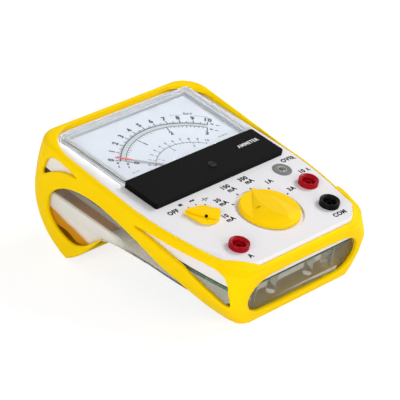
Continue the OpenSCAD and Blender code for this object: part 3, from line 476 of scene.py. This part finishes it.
class Finishes:
    """The materials made so far, one for each finish."""

    made: dict[str, bpy.types.Material] = {}

    @classmethod
    def of(cls, finish: Finish) -> bpy.types.Material:
        """Give a finish's material, made on first use.

        Args:
            finish: the finish.

        Returns:
            Its material.
        """
        if finish.name not in cls.made:
            cls.made[finish.name] = finish.material()
        return cls.made[finish.name]


class PanelMesh:
    """A mesh drawn with bmesh operators in the panel's own frame, in millimetres."""

    def __init__(self) -> None:
        """Start with nothing drawn."""
        self.bm = bmesh.new()

    def block(self, low: Sequence[float], high: Sequence[float]) -> list[bmesh.types.BMVert]:
        """Draw a box between two corners.

        Args:
            low: the lowest corner.
            high: the highest corner.

        Returns:
            The box's corners.
        """
        verts = bmesh.ops.create_cube(self.bm, size=1.0)["verts"]
        size = Vector(high) - Vector(low)
        bmesh.ops.scale(self.bm, vec=size, verts=verts)
        bmesh.ops.translate(self.bm, vec=Vector(low) + size / 2, verts=verts)
        return verts

    def turned(self, profile: Sequence[Point], centre: Point, steps: int = 72) -> None:
        """Turn a profile of radii and heights about an axis along the panel's normal.

        Args:
            profile: points of (radius, height).
            centre: the axis on the panel.
            steps: facets round the turn.
        """
        verts = [self.bm.verts.new((r, 0.0, n)) for r, n in profile]
        edges = [self.bm.edges.new(pair) for pair in zip(verts, verts[1:])]
        before = set(self.bm.verts) - set(verts)
        bmesh.ops.spin(
            self.bm, geom=verts + edges, cent=(0, 0, 0), axis=(0, 0, 1), angle=2 * math.pi,
            steps=steps, use_merge=True, dvec=(0, 0, 0),
        )
        made = [v for v in self.bm.verts if v not in before]
        bmesh.ops.remove_doubles(self.bm, verts=made, dist=WELD)
        self.settle(before, centre)

    def settle(self, before: set[bmesh.types.BMVert], place: Point) -> None:
        """Turn the new faces outwards and move them to their place.

        Args:
            before: the points that were there before.
            place: where the new ones go on the panel.
        """
        made = [v for v in self.bm.verts if v not in before]
        faces = list({f for v in made for f in v.link_faces})
        bmesh.ops.recalc_face_normals(self.bm, faces=faces)
        bmesh.ops.translate(self.bm, vec=(*place, 0.0), verts=made)

    def arc(self, middle: Point, radii: Point, angles: Point, height: Point) -> None:
        """Draw a flat sector of a ring, with angles clockwise from straight back.

        Args:
            middle: the arc's centre.
            radii: inner and outer radius.
            angles: first and last angle, in degrees.
            height: lower and upper face.
        """
        (inner, outer), (low, high) = radii, height
        self.swept(middle, ((inner, low), (outer, low), (outer, high), (inner, high)), angles)

    def swept(self, middle: Point, section: Sequence[Point], angles: Point) -> None:
        """Sweep a section about a centre, with angles clockwise from straight back.

        Args:
            middle: the centre of the sweep.
            section: the corners of the section, as (radius, height).
            angles: first and last angle, in degrees.
        """
        start = math.radians(90.0 - angles[0])
        sweep = angles[1] - angles[0]
        spoke = Vector((math.cos(start), math.sin(start)))
        verts = [self.bm.verts.new((spoke.x * r, spoke.y * r, n)) for r, n in section]
        first = self.bm.faces.new(verts)
        before = set(self.bm.verts) - set(verts)
        bmesh.ops.spin(
            self.bm, geom=[*verts, *first.edges, first], cent=(0, 0, 0), axis=(0, 0, 1),
            angle=-math.radians(sweep), steps=max(2, int(abs(sweep) / ARC_STEP)), dvec=(0, 0, 0),
        )
        self.settle(before, middle)

    def spoke(
        self, middle: Point, radii: Point, angle: float, width: float, height: Point
    ) -> None:
        """Draw a straight mark that points at a centre.

        Args:
            middle: the centre that it points at.
            radii: where it starts and ends.
            angle: clockwise from straight back, in degrees.
            width: the mark's width.
            height: lower and upper face.
        """
        low, high = (-width / 2, radii[0], height[0]), (width / 2, radii[1], height[1])
        verts = self.block(low, high)
        turn = Matrix.Translation((*middle, 0.0)) @ Matrix.Rotation(-math.radians(angle), 4, "Z")
        bmesh.ops.transform(self.bm, matrix=turn, verts=verts)

    def letters(
        self, text: str, place: Point, size: float, weight: float, height: Point, turn: float = 0.0
    ) -> None:
        """Draw a line of lettering as a thin solid.

        Args:
            text: the words.
            place: the middle of the line on the panel.
            size: the font's size, about 1.4 times a capital's height.
            weight: how much the strokes are thickened.
            height: lower and upper face.
            turn: clockwise turn, in degrees.
        """
        curve = bpy.data.curves.new("lettering", "FONT")
        curve.body = text
        curve.size = size
        curve.offset = weight
        curve.space_character = 1.0 + SPACING * weight / size
        curve.resolution_u = LETTER_FACETS
        curve.align_x = curve.align_y = "CENTER"
        curve.extrude = (height[1] - height[0]) / 2
        carrier = stand("lettering", curve)
        graph = bpy.context.evaluated_depsgraph_get()
        mesh = bpy.data.meshes.new_from_object(carrier.evaluated_get(graph))
        middle = Matrix.Translation((*place, (height[0] + height[1]) / 2))
        mesh.transform(middle @ Matrix.Rotation(-math.radians(turn), 4, "Z"))
        self.bm.from_mesh(mesh)
        bpy.data.objects.remove(carrier)
        bpy.data.curves.remove(curve)
        bpy.data.meshes.remove(mesh)

    def drape(self, node: str, least: float = 0.0) -> None:
        """Lay what is drawn over a node's top, keeping its own height above that surface.

        Args:
            node: the node that carries it.
            least: the lowest height that is followed, also used off the node's edge.
        """
        carrier = bmesh.new()
        carrier.from_mesh(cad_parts[node].data)
        tree = BVHTree.FromBMesh(carrier)
        carrier.free()
        down = -(PANEL.to_3x3() @ Vector((0, 0, 1))).normalized()
        back = PANEL.inverted()
        for vert in self.bm.verts:
            start = PANEL @ Vector((vert.co.x, vert.co.y, ABOVE))
            hit = tree.ray_cast(start, down)[0]
            vert.co.z += least if hit is None else max(least, (back @ hit).z)

    def sharper(self, angle: float) -> list[bmesh.types.BMEdge]:
        """Find the edges between two faces that meet at more than an angle.

        Args:
            angle: the angle, in degrees.

        Returns:
            The edges.
        """
        least = math.radians(angle)
        return [
            e for e in self.bm.edges if len(e.link_faces) == 2 and e.calc_face_angle(0.0) > least
        ]

    def soften(self, width: float, segments: int, angle: float) -> None:
        """Round the sharp edges.

        Args:
            width: the rounding's width.
            segments: its facets.
            angle: edges sharper than this are rounded, in degrees.
        """
        bmesh.ops.bevel(
            self.bm, geom=self.sharper(angle), offset=width, offset_type="OFFSET",
            segments=segments, profile=0.5, affect="EDGES", clamp_overlap=True, material=-1,
            loop_slide=True,
        )

    def piece(
        self, name: str, body: Body, finish: Finish, slot: str, stands_for: Iterable[str] = (),
        smooth: float = 40.0,
    ) -> bpy.types.Object:
        """Make the drawn mesh a piece of the object.

        Args:
            name: the piece's name.
            body: the body that it rides on.
            finish: its finish.
            slot: the record's material slot, not used.
            stands_for: the nodes that it replaces.
            smooth: edges flatter than this are shaded smooth, in degrees.

        Returns:
            The piece's object.
        """
        bmesh.ops.transform(self.bm, matrix=PANEL, verts=self.bm.verts)
        for face in self.bm.faces:
            face.smooth = True
        for edge in self.sharper(smooth):
            edge.smooth = False
        mesh = bpy.data.meshes.new(name)
        self.bm.to_mesh(mesh)
        self.bm.free()
        mesh.materials.append(Finishes.of(finish))
        item = stand(name, mesh)
        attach(item, body.value)
        nodes = list(stands_for)
        if nodes:
            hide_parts(*nodes)
        LOG.info("%s: %d faces on %s", name, len(mesh.polygons), body.value)
        return item


class NodeCopy(PanelMesh):
    """A merged copy of a node's mesh, in the panel's frame, to be given soft edges."""

    def __init__(self, node: str, flat: float = 1.0) -> None:
        """Copy a node and join its triangles into whole faces.

        Args:
            node: the node's name.
            flat: faces within this angle become one, in degrees, and 0 keeps the triangles.
        """
        super().__init__()
        self.bm.from_mesh(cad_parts[node].data)
        bmesh.ops.transform(self.bm, matrix=PANEL.inverted(), verts=self.bm.verts)
        bmesh.ops.remove_doubles(self.bm, verts=self.bm.verts, dist=NODE_WELD)
        if flat > 0:
            bmesh.ops.dissolve_limit(
                self.bm, angle_limit=math.radians(flat), use_dissolve_boundaries=False,
                verts=self.bm.verts, edges=self.bm.edges,
            )


@dataclass(frozen=True)
class Lamp:
    """A soft square lamp that faces the object."""

    name: str
    place: Triple
    size: float
    power: float
    aim: Triple = (0.0, 0.0, 0.05)

    def build(self) -> None:
        """Hang the lamp."""
        light = bpy.data.lights.new(self.name, "AREA")
        light.shape = "SQUARE"
        light.size = self.size
        light.energy = self.power
        item = stand(self.name, light)
        item.location = self.place
        way = Vector(self.aim) - Vector(self.place)
        item.rotation_euler = way.to_track_quat("-Z", "Y").to_euler()


@dataclass
class Studio:
    """Floor, lamps, world and camera, whose eye is measured from the panel's origin in metres."""

    eye: Triple = (-1.0147, -0.9333, 0.6116)
    azimuth: float = -46.82
    elevation: float = 24.38
    lens: float = 207.0
    sensor: float = 36.0
    clip: Point = (0.05, 20.0)
    floor_half: float = 6.0
    floor_colour: Colour = (0.86, 0.86, 0.86)
    floor_roughness: float = 0.9
    floor_shadow: Colour = (0.3, 0.3, 0.3)
    floor_glow: float = 0.8
    white: Colour = (1.0, 1.0, 1.0)
    room_light: float = 0.25
    backdrop: float = 1.0
    lamps: tuple[Lamp, ...] = (
        Lamp("key_lamp", (-1.15, -0.45, 0.5), 0.8, 9.0),
        Lamp("fill_lamp", (0.25, -1.2, 0.4), 0.8, 4.5),
        Lamp("side_lamp", (1.0, -0.35, 0.95), 0.5, 11.5),
        Lamp("rear_lamp", (-0.25, 1.2, 0.5), 0.8, 3.5),
    )

    def build(self) -> None:
        """Set the stage."""
        self.floor()
        self.world()
        for lamp in self.lamps:
            lamp.build()
        self.camera()
        bpy.context.scene.view_settings.view_transform = "Standard"

    def floor(self) -> None:
        """Lay a pale floor that looks white and still takes the object's shadow."""
        graph = Graph(bpy.data.materials.new("pale_floor"))
        plain = graph.principled(Base_Color=self.floor_colour, Roughness=self.floor_roughness)
        shadow = graph.node("BsdfDiffuse", Color=self.floor_shadow)["BSDF"]
        glow = graph.node("Emission", Strength=self.floor_glow)["Emission"]
        lit = graph.node("AddShader", shadow, glow)["Shader"]
        material = graph.close(graph.mixed(graph.seen(), plain, lit))
        sheet = bmesh.new()
        bmesh.ops.create_grid(sheet, x_segments=2, y_segments=2, size=self.floor_half)
        mesh = bpy.data.meshes.new("studio_floor")
        sheet.to_mesh(mesh)
        sheet.free()
        mesh.materials.append(material)
        item = stand("studio_floor", mesh)

    def world(self) -> None:
        """Light the room softly, and show white behind the object."""
        room = bpy.data.worlds.new("studio")
        bpy.context.scene.world = room
        graph = Graph(room)
        soft, white = (
            graph.node("Background", Color=self.white, Strength=strength)["Background"]
            for strength in (self.room_light, self.backdrop)
        )
        graph.node("OutputWorld", graph.mixed(graph.seen(), soft, white))

    def camera(self) -> None:
        """Stand the camera where the photograph was taken from."""
        data = bpy.data.cameras.new("camera")
        data.lens = self.lens
        data.sensor_width = self.sensor
        data.clip_start, data.clip_end = self.clip
        item = stand("camera", data)
        a, e = math.radians(self.azimuth), math.radians(self.elevation)
        look = -Vector((math.sin(a) * math.cos(e), -math.cos(a) * math.cos(e), math.sin(e)))
        item.location = Vector(self.eye) + STAND * MM
        item.rotation_euler = look.to_track_quat("-Z", "Y").to_euler()
        bpy.context.scene.camera = item


@dataclass
class BumperBoot:
    """The elastic boot, with the soft edges of moulded rubber."""

    voxel: float = 0.55 * MM
    rounds: int = 6
    calm_rounds: int = 3
    ease_factor: float = 0.5
    keep: float = 0.27
    swell: float = 0.16 * MM
    corner: Point = (-35.0, -46.0)
    corner_angles: Point = (186.0, 274.0)
    corner_inner: Point = (33.6, -4.2)
    corner_outer: Point = (34.0, 3.2)
    corner_peak: float = 0.68
    corner_height: Point = (-1.4, 0.95)
    corner_strips: int = 7
    corner_least: float = -2.6

    def build(self) -> None:
        """Remesh a copy of the boot, with full front corners to its opening."""
        copy = NodeCopy("bumper_boot")
        for side in (1, -1):
            self.full_corner(copy, side)
        finish = SLOT_FINISHES["boot_yellow"]
        item = copy.piece(
            "boot", Body.CASE, finish, "boot_yellow", ["bumper_boot"], smooth=180.0
        )
        self.ease(item)

    def ease(self, item: bpy.types.Object) -> None:
        """Remesh the boot, smooth its edges, thin it out and swell it back to its size.

        Args:
            item: the boot's object, whose mesh is replaced.
        """
        fine = {"mode": "VOXEL", "voxel_size": self.voxel, "use_smooth_shade": True}
        for name, kind, settings in (
            ("remesh", "REMESH", fine),
            ("ease", "SMOOTH", {"factor": self.ease_factor, "iterations": self.rounds}),
            ("thin", "DECIMATE", {"ratio": self.keep}),
            ("calm", "SMOOTH", {"factor": self.ease_factor, "iterations": self.calm_rounds}),
            ("swell", "DISPLACE", {"mid_level": 0.0, "strength": self.swell}),
        ):
            modifier = item.modifiers.new(name, kind)
            for setting, value in settings.items():
                setattr(modifier, setting, value)
        graph = bpy.context.evaluated_depsgraph_get()
        mesh = bpy.data.meshes.new_from_object(item.evaluated_get(graph))
        item.modifiers.clear()
        old = item.data
        item.data = mesh
        mesh.name = "boot"
        bpy.data.meshes.remove(old)
        LOG.info("boot eased: %d faces", len(mesh.polygons))

    def full_corner(self, copy: PanelMesh, side: int) -> None:
        """Add the crescent of lip that fills a front corner, laid on the top shell.

        Args:
            copy: the boot's mesh.
            side: 1 for the left corner and -1 for the right one.
        """
        low, high = self.corner_height
        steps = [1 + k / self.corner_strips for k in range(self.corner_strips + 1)]
        section = [(k, low) for k in steps] + [(k, high) for k in reversed(steps)]
        lip = PanelMesh()
        lip.swept(self.corner, section, self.corner_angles)
        start = math.radians(self.corner_angles[0])
        span = math.radians(self.corner_angles[1] - self.corner_angles[0])
        middle = Vector(self.corner)
        for vert in lip.bm.verts:
            arm = vert.co.xy - middle
            share = ((math.pi / 2 - math.atan2(arm.y, arm.x)) % (2 * math.pi) - start) / span
            swing = max(0.0, math.sin(math.pi * share / self.corner_peak))
            inner = self.corner_inner[0] + self.corner_inner[1] * math.sin(math.pi * share)
            outer = self.corner_outer[0] + self.corner_outer[1] * swing
            vert.co.xy = middle + arm.normalized() * (inner + (outer - inner) * (arm.length - 1))
        bmesh.ops.scale(lip.bm, vec=(side, 1, 1), verts=lip.bm.verts)
        bmesh.ops.recalc_face_normals(lip.bm, faces=lip.bm.faces)
        lip.drape("top_shell", self.corner_least)
        for _ in range(self.rounds):
            bmesh.ops.smooth_vert(
                lip.bm, verts=lip.bm.verts, factor=self.ease_factor, use_axis_z=True
            )
        part = bpy.data.meshes.new("lip_corner")
        lip.bm.to_mesh(part)
        lip.bm.free()
        copy.bm.from_mesh(part)
        bpy.data.meshes.remove(part)


@dataclass
class SoftNode:
    """A node shown as a copy with rounded edges."""

    node: str
    slot: str
    body: Body = Body.CASE
    width: float = 0.3
    segments: int = 2
    angle: float = 35.0
    flat: float = 1.0
    finish: Finish | None = None

    def build(self) -> bpy.types.Object:
        """Make the copy and stand it for the node.

        Returns:
            The piece's object.
        """
        copy = NodeCopy(self.node, self.flat)
        if self.width > 0:
            copy.soften(self.width, self.segments, self.angle)
        finish = self.finish or SLOT_FINISHES[self.slot]
        item = copy.piece(f"{self.node}_finished", self.body, finish, self.slot, [self.node])
        even = item.modifiers.new("even_faces", "WEIGHTED_NORMAL")
        even.keep_sharp = True
        return item


@dataclass
class MeterLens:
    """The meter's clear lens, whose far walls get a grey finish that paints their shade."""

    margin: float = 3.0
    level: float = 0.5

    def build(self) -> None:
        """Copy the lens and give its rear and right walls a grey finish, painted shade."""
        item = SoftNode("meter_lens", "lens_clear", width=0.5, segments=3).build()
        item.data.materials.append(Finishes.of(LENS_WALL_SHADE))
        back = PANEL.inverted()
        turn = back.to_3x3().normalized()
        places = [back @ v.co for v in item.data.vertices]
        rear = max(p.y for p in places) - self.margin
        right = max(p.x for p in places) - self.margin
        for face in item.data.polygons:
            place = back @ face.center
            upright = abs((turn @ face.normal).z) < self.level
            if upright and (place.y > rear or place.x > right):
                face.material_index = 1


@dataclass
class PanelSocket:
    """A shrouded socket: a flange with a funnel mouth, and the sleeve round its contact."""

    node: str
    slot: str
    centre: Point
    flange: Profile = (
        (2.7, -14.0), (5.6, -14.0), (5.6, 0.0), (6.9, 0.0), (6.95, 3.3), (6.8, 3.75), (6.45, 4.0),
        (6.1, 3.95), (4.5, 2.85), (4.2, 2.4), (4.1, -12.5), (2.7, -12.5), (2.7, -14.0),
    )
    sleeve: Profile = (
        (2.05, -2.0), (2.65, -2.0), (2.65, 1.2), (2.5, 1.4), (2.2, 1.4), (2.05, 1.2), (2.05, -2.0),
    )
    sleeve_facets: int = 48

    def build(self) -> None:
        """Turn the flange and the sleeve."""
        mesh = PanelMesh()
        mesh.turned(self.flange, self.centre)
        mesh.turned(self.sleeve, self.centre, self.sleeve_facets)
        finish = SLOT_FINISHES[self.slot]
        mesh.piece(f"{self.node}_finished", Body.CASE, finish, self.slot, [self.node])


@dataclass
class OverLamp:
    """The overload lamp: a flat bezel, a pale ring and a dark domed window."""

    centre: Point = (47.2, -12.2)
    bezel: Profile = (
        (3.4, -9.0), (5.1, -9.0), (5.1, 0.0), (6.84, 0.0), (6.84, 0.2), (6.6, 0.4), (6.0, 0.42),
        (5.8, 0.25), (5.4, 0.25), (5.2, 0.42), (3.6, 0.42), (3.4, 0.3), (3.4, -9.0),
    )
    ring: Profile = (
        (2.5, -5.0), (3.35, -5.0), (3.35, 0.4), (3.2, 0.75), (2.8, 0.85), (2.6, 0.7), (2.5, 0.3),
        (2.5, -5.0),
    )
    window: Profile = (
        (0.0, 0.75), (0.8, 0.7), (1.5, 0.52), (2.1, 0.25), (2.45, 0.0), (2.45, -5.0), (0.0, -5.0),
    )

    def build(self) -> None:
        """Turn the three pieces."""
        grey = SLOT_FINISHES["lamp_grey"]
        for name, profile, finish, slot, nodes in (
            ("lamp_bezel_finished", self.bezel, grey, "lamp_grey", ["lamp_bezel"]),
            ("lamp_ring", self.ring, LAMP_RING, "lamp_clear", ["lamp_lens"]),
            ("lamp_window", self.window, LAMP_CENTRE, "lamp_clear", []),
        ):
            mesh = PanelMesh()
            mesh.turned(profile, self.centre)
            mesh.piece(name, Body.CASE, finish, slot, nodes)


@dataclass(frozen=True)
class Ticks:
    """The lengths of a scale's whole, half and small marks, and the widths of whole and other."""

    lengths: Triple
    widths: Point

    def mark(self, tick: int) -> Point:
        """Give the length and width of a mark, counted in tenths."""
        whole, half = tick % 10 == 0, tick % 5 == 0
        return self.lengths[0 if whole else 1 if half else 2], self.widths[0 if whole else 1]


@dataclass(frozen=True)
class Row:
    """Lettering set on a circle about the dial's pivot."""

    radius: float
    size: float
    weight: float


@dataclass
class DialPrint:
    """Scales, numbers and words on the scale plate."""

    pivot: Point = PIVOT
    zero: float = -47.6
    step: float = 9.43
    outer: float = 57.2
    inner: float = 53.7
    third: float = 33.8
    outer_half: float = 0.36
    inner_half: float = 0.26
    third_half: float = 0.27
    band_inset: Point = (0.5, 0.3)
    height: Point = (0.03, 0.06)
    band_height: Point = (0.01, 0.03)
    least: float = -5.0
    outer_ticks: Ticks = Ticks((3.4, 2.4, 1.5), (0.75, 0.4))
    inner_ticks: Ticks = Ticks((4.6, 2.6, 1.8), (0.75, 0.42))
    tens: Row = Row(63.4, 5.6, 0.25)
    threes: Row = Row(46.4, 5.2, 0.24)
    sign_radii: Point = (59.0, 52.3)
    sign_angles: tuple[Point, ...] = ((-50.4, -54.3), (49.8, 53.7))
    sign_sizes: Point = (3.4, 3.8)
    sign_weight: float = 0.2
    third_ends: Point = (-50.0, 46.0)
    third_zero: float = -48.6
    third_step: float = 9.5
    third_mark: Point = (2.0, 0.5)
    third_tick: Point = (1.1, 0.34)
    third_tens: Row = Row(37.8, 3.0, 0.15)
    third_threes: Row = Row(29.2, 3.2, 0.12)
    third_three_mark: Point = (2.6, 0.42)
    third_three_angles: Triple = (-34.4, -2.4, 29.8)
    cell_ends: Point = (24.0, 46.7)
    cell_gap: Point = (31.6, 38.6)
    cell_radii: Point = (66.85, 67.2)
    cell_stops: Point = (65.6, 67.1)
    cell_stop_width: float = 0.3
    cell_row: Row = Row(68.7, 3.4, 0.14)
    cell_angle: float = 35.1
    notes: tuple[tuple[str, Point], ...] = (("DC 2.5", (-42.3, 37.6)), ("AC 50 Hz", (41.5, 38.0)))
    note_size: float = 2.2
    note_weight: float = 0.02

    def angle(self, number: float) -> float:
        """Give the angle of a number on the ten scale."""
        return self.zero + self.step * number

    def build(self) -> None:
        """Print the dial."""
        self.band()
        self.main_scales()
        self.small_scale()

    def line(self, mesh: PanelMesh, radius: float, half: float, ends: Point) -> None:
        """Draw a scale's line between two angles."""
        mesh.arc(self.pivot, (radius - half, radius + half), ends, self.height)

    def mark(self, mesh: PanelMesh, radii: Point, angle: float, width: float) -> None:
        """Draw a mark that points at the pivot."""
        mesh.spoke(self.pivot, radii, angle, width, self.height)

    def band(self) -> None:
        """Print the pale mirror band between the two main arcs as flat grey-green ink, a painted
        reflection.
        """
        mesh = PanelMesh()
        radii = (self.inner + self.band_inset[0], self.outer - self.band_inset[1])
        mesh.arc(self.pivot, radii, (self.angle(0), self.angle(10)), self.band_height)
        self.lay(mesh, "scale_band_painted_reflection", MIRROR_BAND_PAINT)

    def main_scales(self) -> None:
        """Print the ten scale outside and the three scale inside."""
        mesh = PanelMesh()
        ends = (self.angle(0), self.angle(10))
        self.line(mesh, self.outer, self.outer_half, ends)
        self.line(mesh, self.inner, self.inner_half, ends)
        for tick in range(101):
            length, width = self.outer_ticks.mark(tick)
            if tick % 2 == 0 or tick % 5 == 0:
                self.mark(mesh, (self.outer, self.outer + length), self.angle(tick / 10), width)
        for tick in range(31):
            length, width = self.inner_ticks.mark(tick)
            self.mark(mesh, (self.inner - length, self.inner), self.angle(tick / 3), width)
        for number in range(11):
            self.radial(mesh, str(number), self.tens, self.angle(number))
        for number in range(4):
            self.radial(mesh, str(number), self.threes, self.angle(number * 10 / 3))
        for angles in self.sign_angles:
            for radius in self.sign_radii:
                for text, size, angle in zip("=~", self.sign_sizes, angles):
                    self.radial(mesh, text, Row(radius, size, self.sign_weight), angle)
        self.lay(mesh, "main_scales", BLACK_INK)

    def small_scale(self) -> None:
        """Print the small inner scale, the battery line and the small words."""
        mesh = PanelMesh()
        self.line(mesh, self.third, self.third_half, self.third_ends)
        for number in range(11):
            angle = self.third_zero + self.third_step * number
            length, width = self.third_mark
            self.mark(mesh, (self.third, self.third + length), angle, width)
            self.radial(mesh, str(number), self.third_tens, angle)
        for tick in range(21):
            angle = self.third_zero + self.third_step / 2 * tick
            length, width = self.third_tick
            self.mark(mesh, (self.third - length, self.third), angle, width)
        for number, angle in enumerate(self.third_three_angles, start=1):
            length, width = self.third_three_mark
            self.mark(mesh, (self.third - length, self.third), angle, width)
            self.radial(mesh, str(number), self.third_threes, angle)
        (first, last), (gap_from, gap_to) = self.cell_ends, self.cell_gap
        for ends in ((first, gap_from), (gap_to, last)):
            mesh.arc(self.pivot, self.cell_radii, ends, self.height)
        for end in self.cell_ends:
            self.mark(mesh, self.cell_stops, end, self.cell_stop_width)
        self.radial(mesh, "BAT", self.cell_row, self.cell_angle)
        for text, place in self.notes:
            mesh.letters(text, place, self.note_size, self.note_weight, self.height)
        self.lay(mesh, "small_scale", GREY_INK)

    def radial(self, mesh: PanelMesh, text: str, row: Row, angle: float) -> None:
        """Set letters upright on a radius.

        Args:
            mesh: the mesh to draw on.
            text: the letters.
            row: their distance from the pivot, size and weight.
            angle: clockwise from straight back, in degrees.
        """
        way = math.radians(angle)
        u, v = self.pivot
        place = (u + row.radius * math.sin(way), v + row.radius * math.cos(way))
        mesh.letters(text, place, row.size, row.weight, self.height, angle)

    def lay(self, mesh: PanelMesh, name: str, ink: InkFinish) -> None:
        """Lay a print on the scale plate."""
        mesh.drape("scale_plate", self.least)
        mesh.piece(name, Body.CASE, ink, "scale_white")


@dataclass
class Pointer:
    """The meter's pointer: a pale shaft with a red end."""

    pivot: Point = PIVOT
    red_from: float = 50.0

    def build(self) -> None:
        """Part a copy of the pointer into its shaft and its red end."""
        way = self.direction()
        for name, finish, outer, stands_for in (
            ("pointer_shaft", SHAFT_ENAMEL, False, ["pointer"]),
            ("pointer_end", SLOT_FINISHES["pointer_red"], True, []),
        ):
            half = NodeCopy("pointer")
            bmesh.ops.bisect_plane(
                half.bm, geom=[*half.bm.verts, *half.bm.edges, *half.bm.faces],
                plane_co=Vector((*self.pivot, 0.0)) + way * self.red_from, plane_no=way,
                clear_inner=outer, clear_outer=not outer,
            )
            rim = [e for e in half.bm.edges if e.is_boundary]
            bmesh.ops.holes_fill(half.bm, edges=rim, sides=0)
            half.piece(name, Body.MOVEMENT, finish, "pointer_red", stands_for)

    def direction(self) -> Vector:
        """Find which way the pointer lies at rest.

        Returns:
            The direction from the pivot to the pointer's end, on the panel.
        """
        copy = NodeCopy("pointer")
        middle = Vector((*self.pivot, 0.0))
        tip = max((v.co - middle for v in copy.bm.verts), key=lambda arm: arm.xy.length)
        way = Vector((tip.x, tip.y, 0.0)).normalized()
        copy.bm.free()
        return way


@dataclass
class PanelPrint:
    """Words and marks on the panel, and the word on the dial cover."""

    range_middle: Point = (5.0, -40.2)
    range_first: float = -75.0
    range_step: float = 30.0
    ranges: int = 6
    mark_radii: Point = (23.9, 25.6)
    mark_width: float = 1.1
    size: float = 4.9
    weight: float = 0.25
    height: Point = (0.01, 0.05)
    least: float = -1.0
    words: tuple[tuple[str, Point], ...] = (
        ("10", (-26.9, -29.3)), ("mA", (-26.2, -33.6)), ("30", (-18.3, -14.2)),
        ("mA", (-17.0, -18.4)), ("100", (-2.4, -6.0)), ("mA", (-0.6, -10.3)),
        ("300", (15.2, -5.6)), ("mA", (16.8, -9.9)), ("1A", (28.5, -17.2)), ("3A", (35.6, -31.1)),
        ("OVER", (60.8, -5.4)), ("10 A", (60.2, -20.9)), ("COM", (42.6, -68.3)),
        ("A", (-44.5, -68.5)), ("OFF", (-53.3, -8.0)),
    )
    signs: tuple[tuple[str, Point, float, float], ...] = (
        ("=", (-43.3, -4.8), 5.2, 0.3), ("~", (-33.2, -4.9), 6.6, 0.36),
    )
    cover_word: tuple[str, Point, float, float] = ("AMMETER", (45.2, 18.7), 4.4, 0.06)
    dots: Profile = ((-46.9, -12.9), (-40.8, -9.6), (-34.1, -9.7), (-28.6, -12.9))
    dot_radius: float = 0.62
    dot_facets: int = 20
    cell: Point = (-24.2, -8.4)
    cell_bars: tuple[tuple[Point, Point], ...] = (
        ((-3.0, -0.3), (-0.7, 0.3)), ((-1.0, -2.0), (-0.4, 2.0)), ((0.5, -1.1), (1.1, 1.1)),
        ((0.8, -0.3), (3.0, 0.3)),
    )

    def build(self) -> None:
        """Print the panel and the cover."""
        mesh = PanelMesh()
        for text, place in self.words:
            mesh.letters(text, place, self.size, self.weight, self.height)
        for sign in self.signs:
            mesh.letters(*sign, self.height)
        self.cell_sign(mesh)
        for index in range(self.ranges):
            angle = self.range_first + self.range_step * index
            mesh.spoke(self.range_middle, self.mark_radii, angle, self.mark_width, self.height)
        low, high = self.height
        disc = ((0.0, high), (self.dot_radius, high), (self.dot_radius, low), (0.0, low))
        for spot in self.dots:
            mesh.turned(disc, spot, self.dot_facets)
        mesh.drape("top_shell", self.least)
        mesh.piece("panel_print", Body.CASE, BLACK_INK, "panel_white")
        word = PanelMesh()
        word.letters(*self.cover_word, self.height)
        word.drape("dial_cover")
        word.piece("cover_print", Body.CASE, WHITE_INK, "cover_black")

    def cell_sign(self, mesh: PanelMesh) -> None:
        """Draw the sign for a battery test: two plates between leads.

        Args:
            mesh: the mesh to draw on.
        """
        u, v = self.cell
        low, high = self.height
        for (x0, y0), (x1, y1) in self.cell_bars:
            mesh.block((u + x0, v + y0, low), (u + x1, v + y1, high))


def dress_nodes() -> None:
    """Give every node that is shown as it is the finish of its slot."""
    for name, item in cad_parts.items():
        for holder in item.material_slots:
            slot = holder.material.name.split(".")[0]
            if slot in SLOT_FINISHES:
                holder.material = Finishes.of(SLOT_FINISHES[slot])
            else:
                LOG.warning("%s has the slot %s, which has no finish", name, slot)


def main() -> None:
    """Build the pieces in order."""
    logging.basicConfig(level=logging.INFO, format="%(name)s %(message)s")
    Studio().build()
    dress_nodes()
    BumperBoot().build()
    MeterLens().build()
    OverLamp().build()
    for part in (
        SoftNode("bottom_shell", "case_clear", width=0.0),
        SoftNode("top_shell", "panel_white", width=0.4, segments=3),
        SoftNode("dial_cover", "cover_black", width=0.4, segments=3, flat=0.0),
        SoftNode("range_knob", "knob_yellow", Body.RANGE, width=0.5, segments=3, angle=13.0),
        SoftNode("function_knob", "knob_yellow", Body.FUNCTION, width=0.7, segments=3, angle=30.0),
        PanelSocket("socket_a", "socket_red", (-44.0, -57.4)),
        PanelSocket("socket_10a", "socket_red", (50.2, -33.0)),
        PanelSocket("socket_com", "socket_black", (44.0, -57.4)),
        SoftNode("zero_screw", "cover_black", Body.ZERO, width=0.15, finish=SCREW_FACE),
    ):
        part.build()
    Pointer().build()
    DialPrint().build()
    PanelPrint().build()


if __name__ == "__main__":
    main()
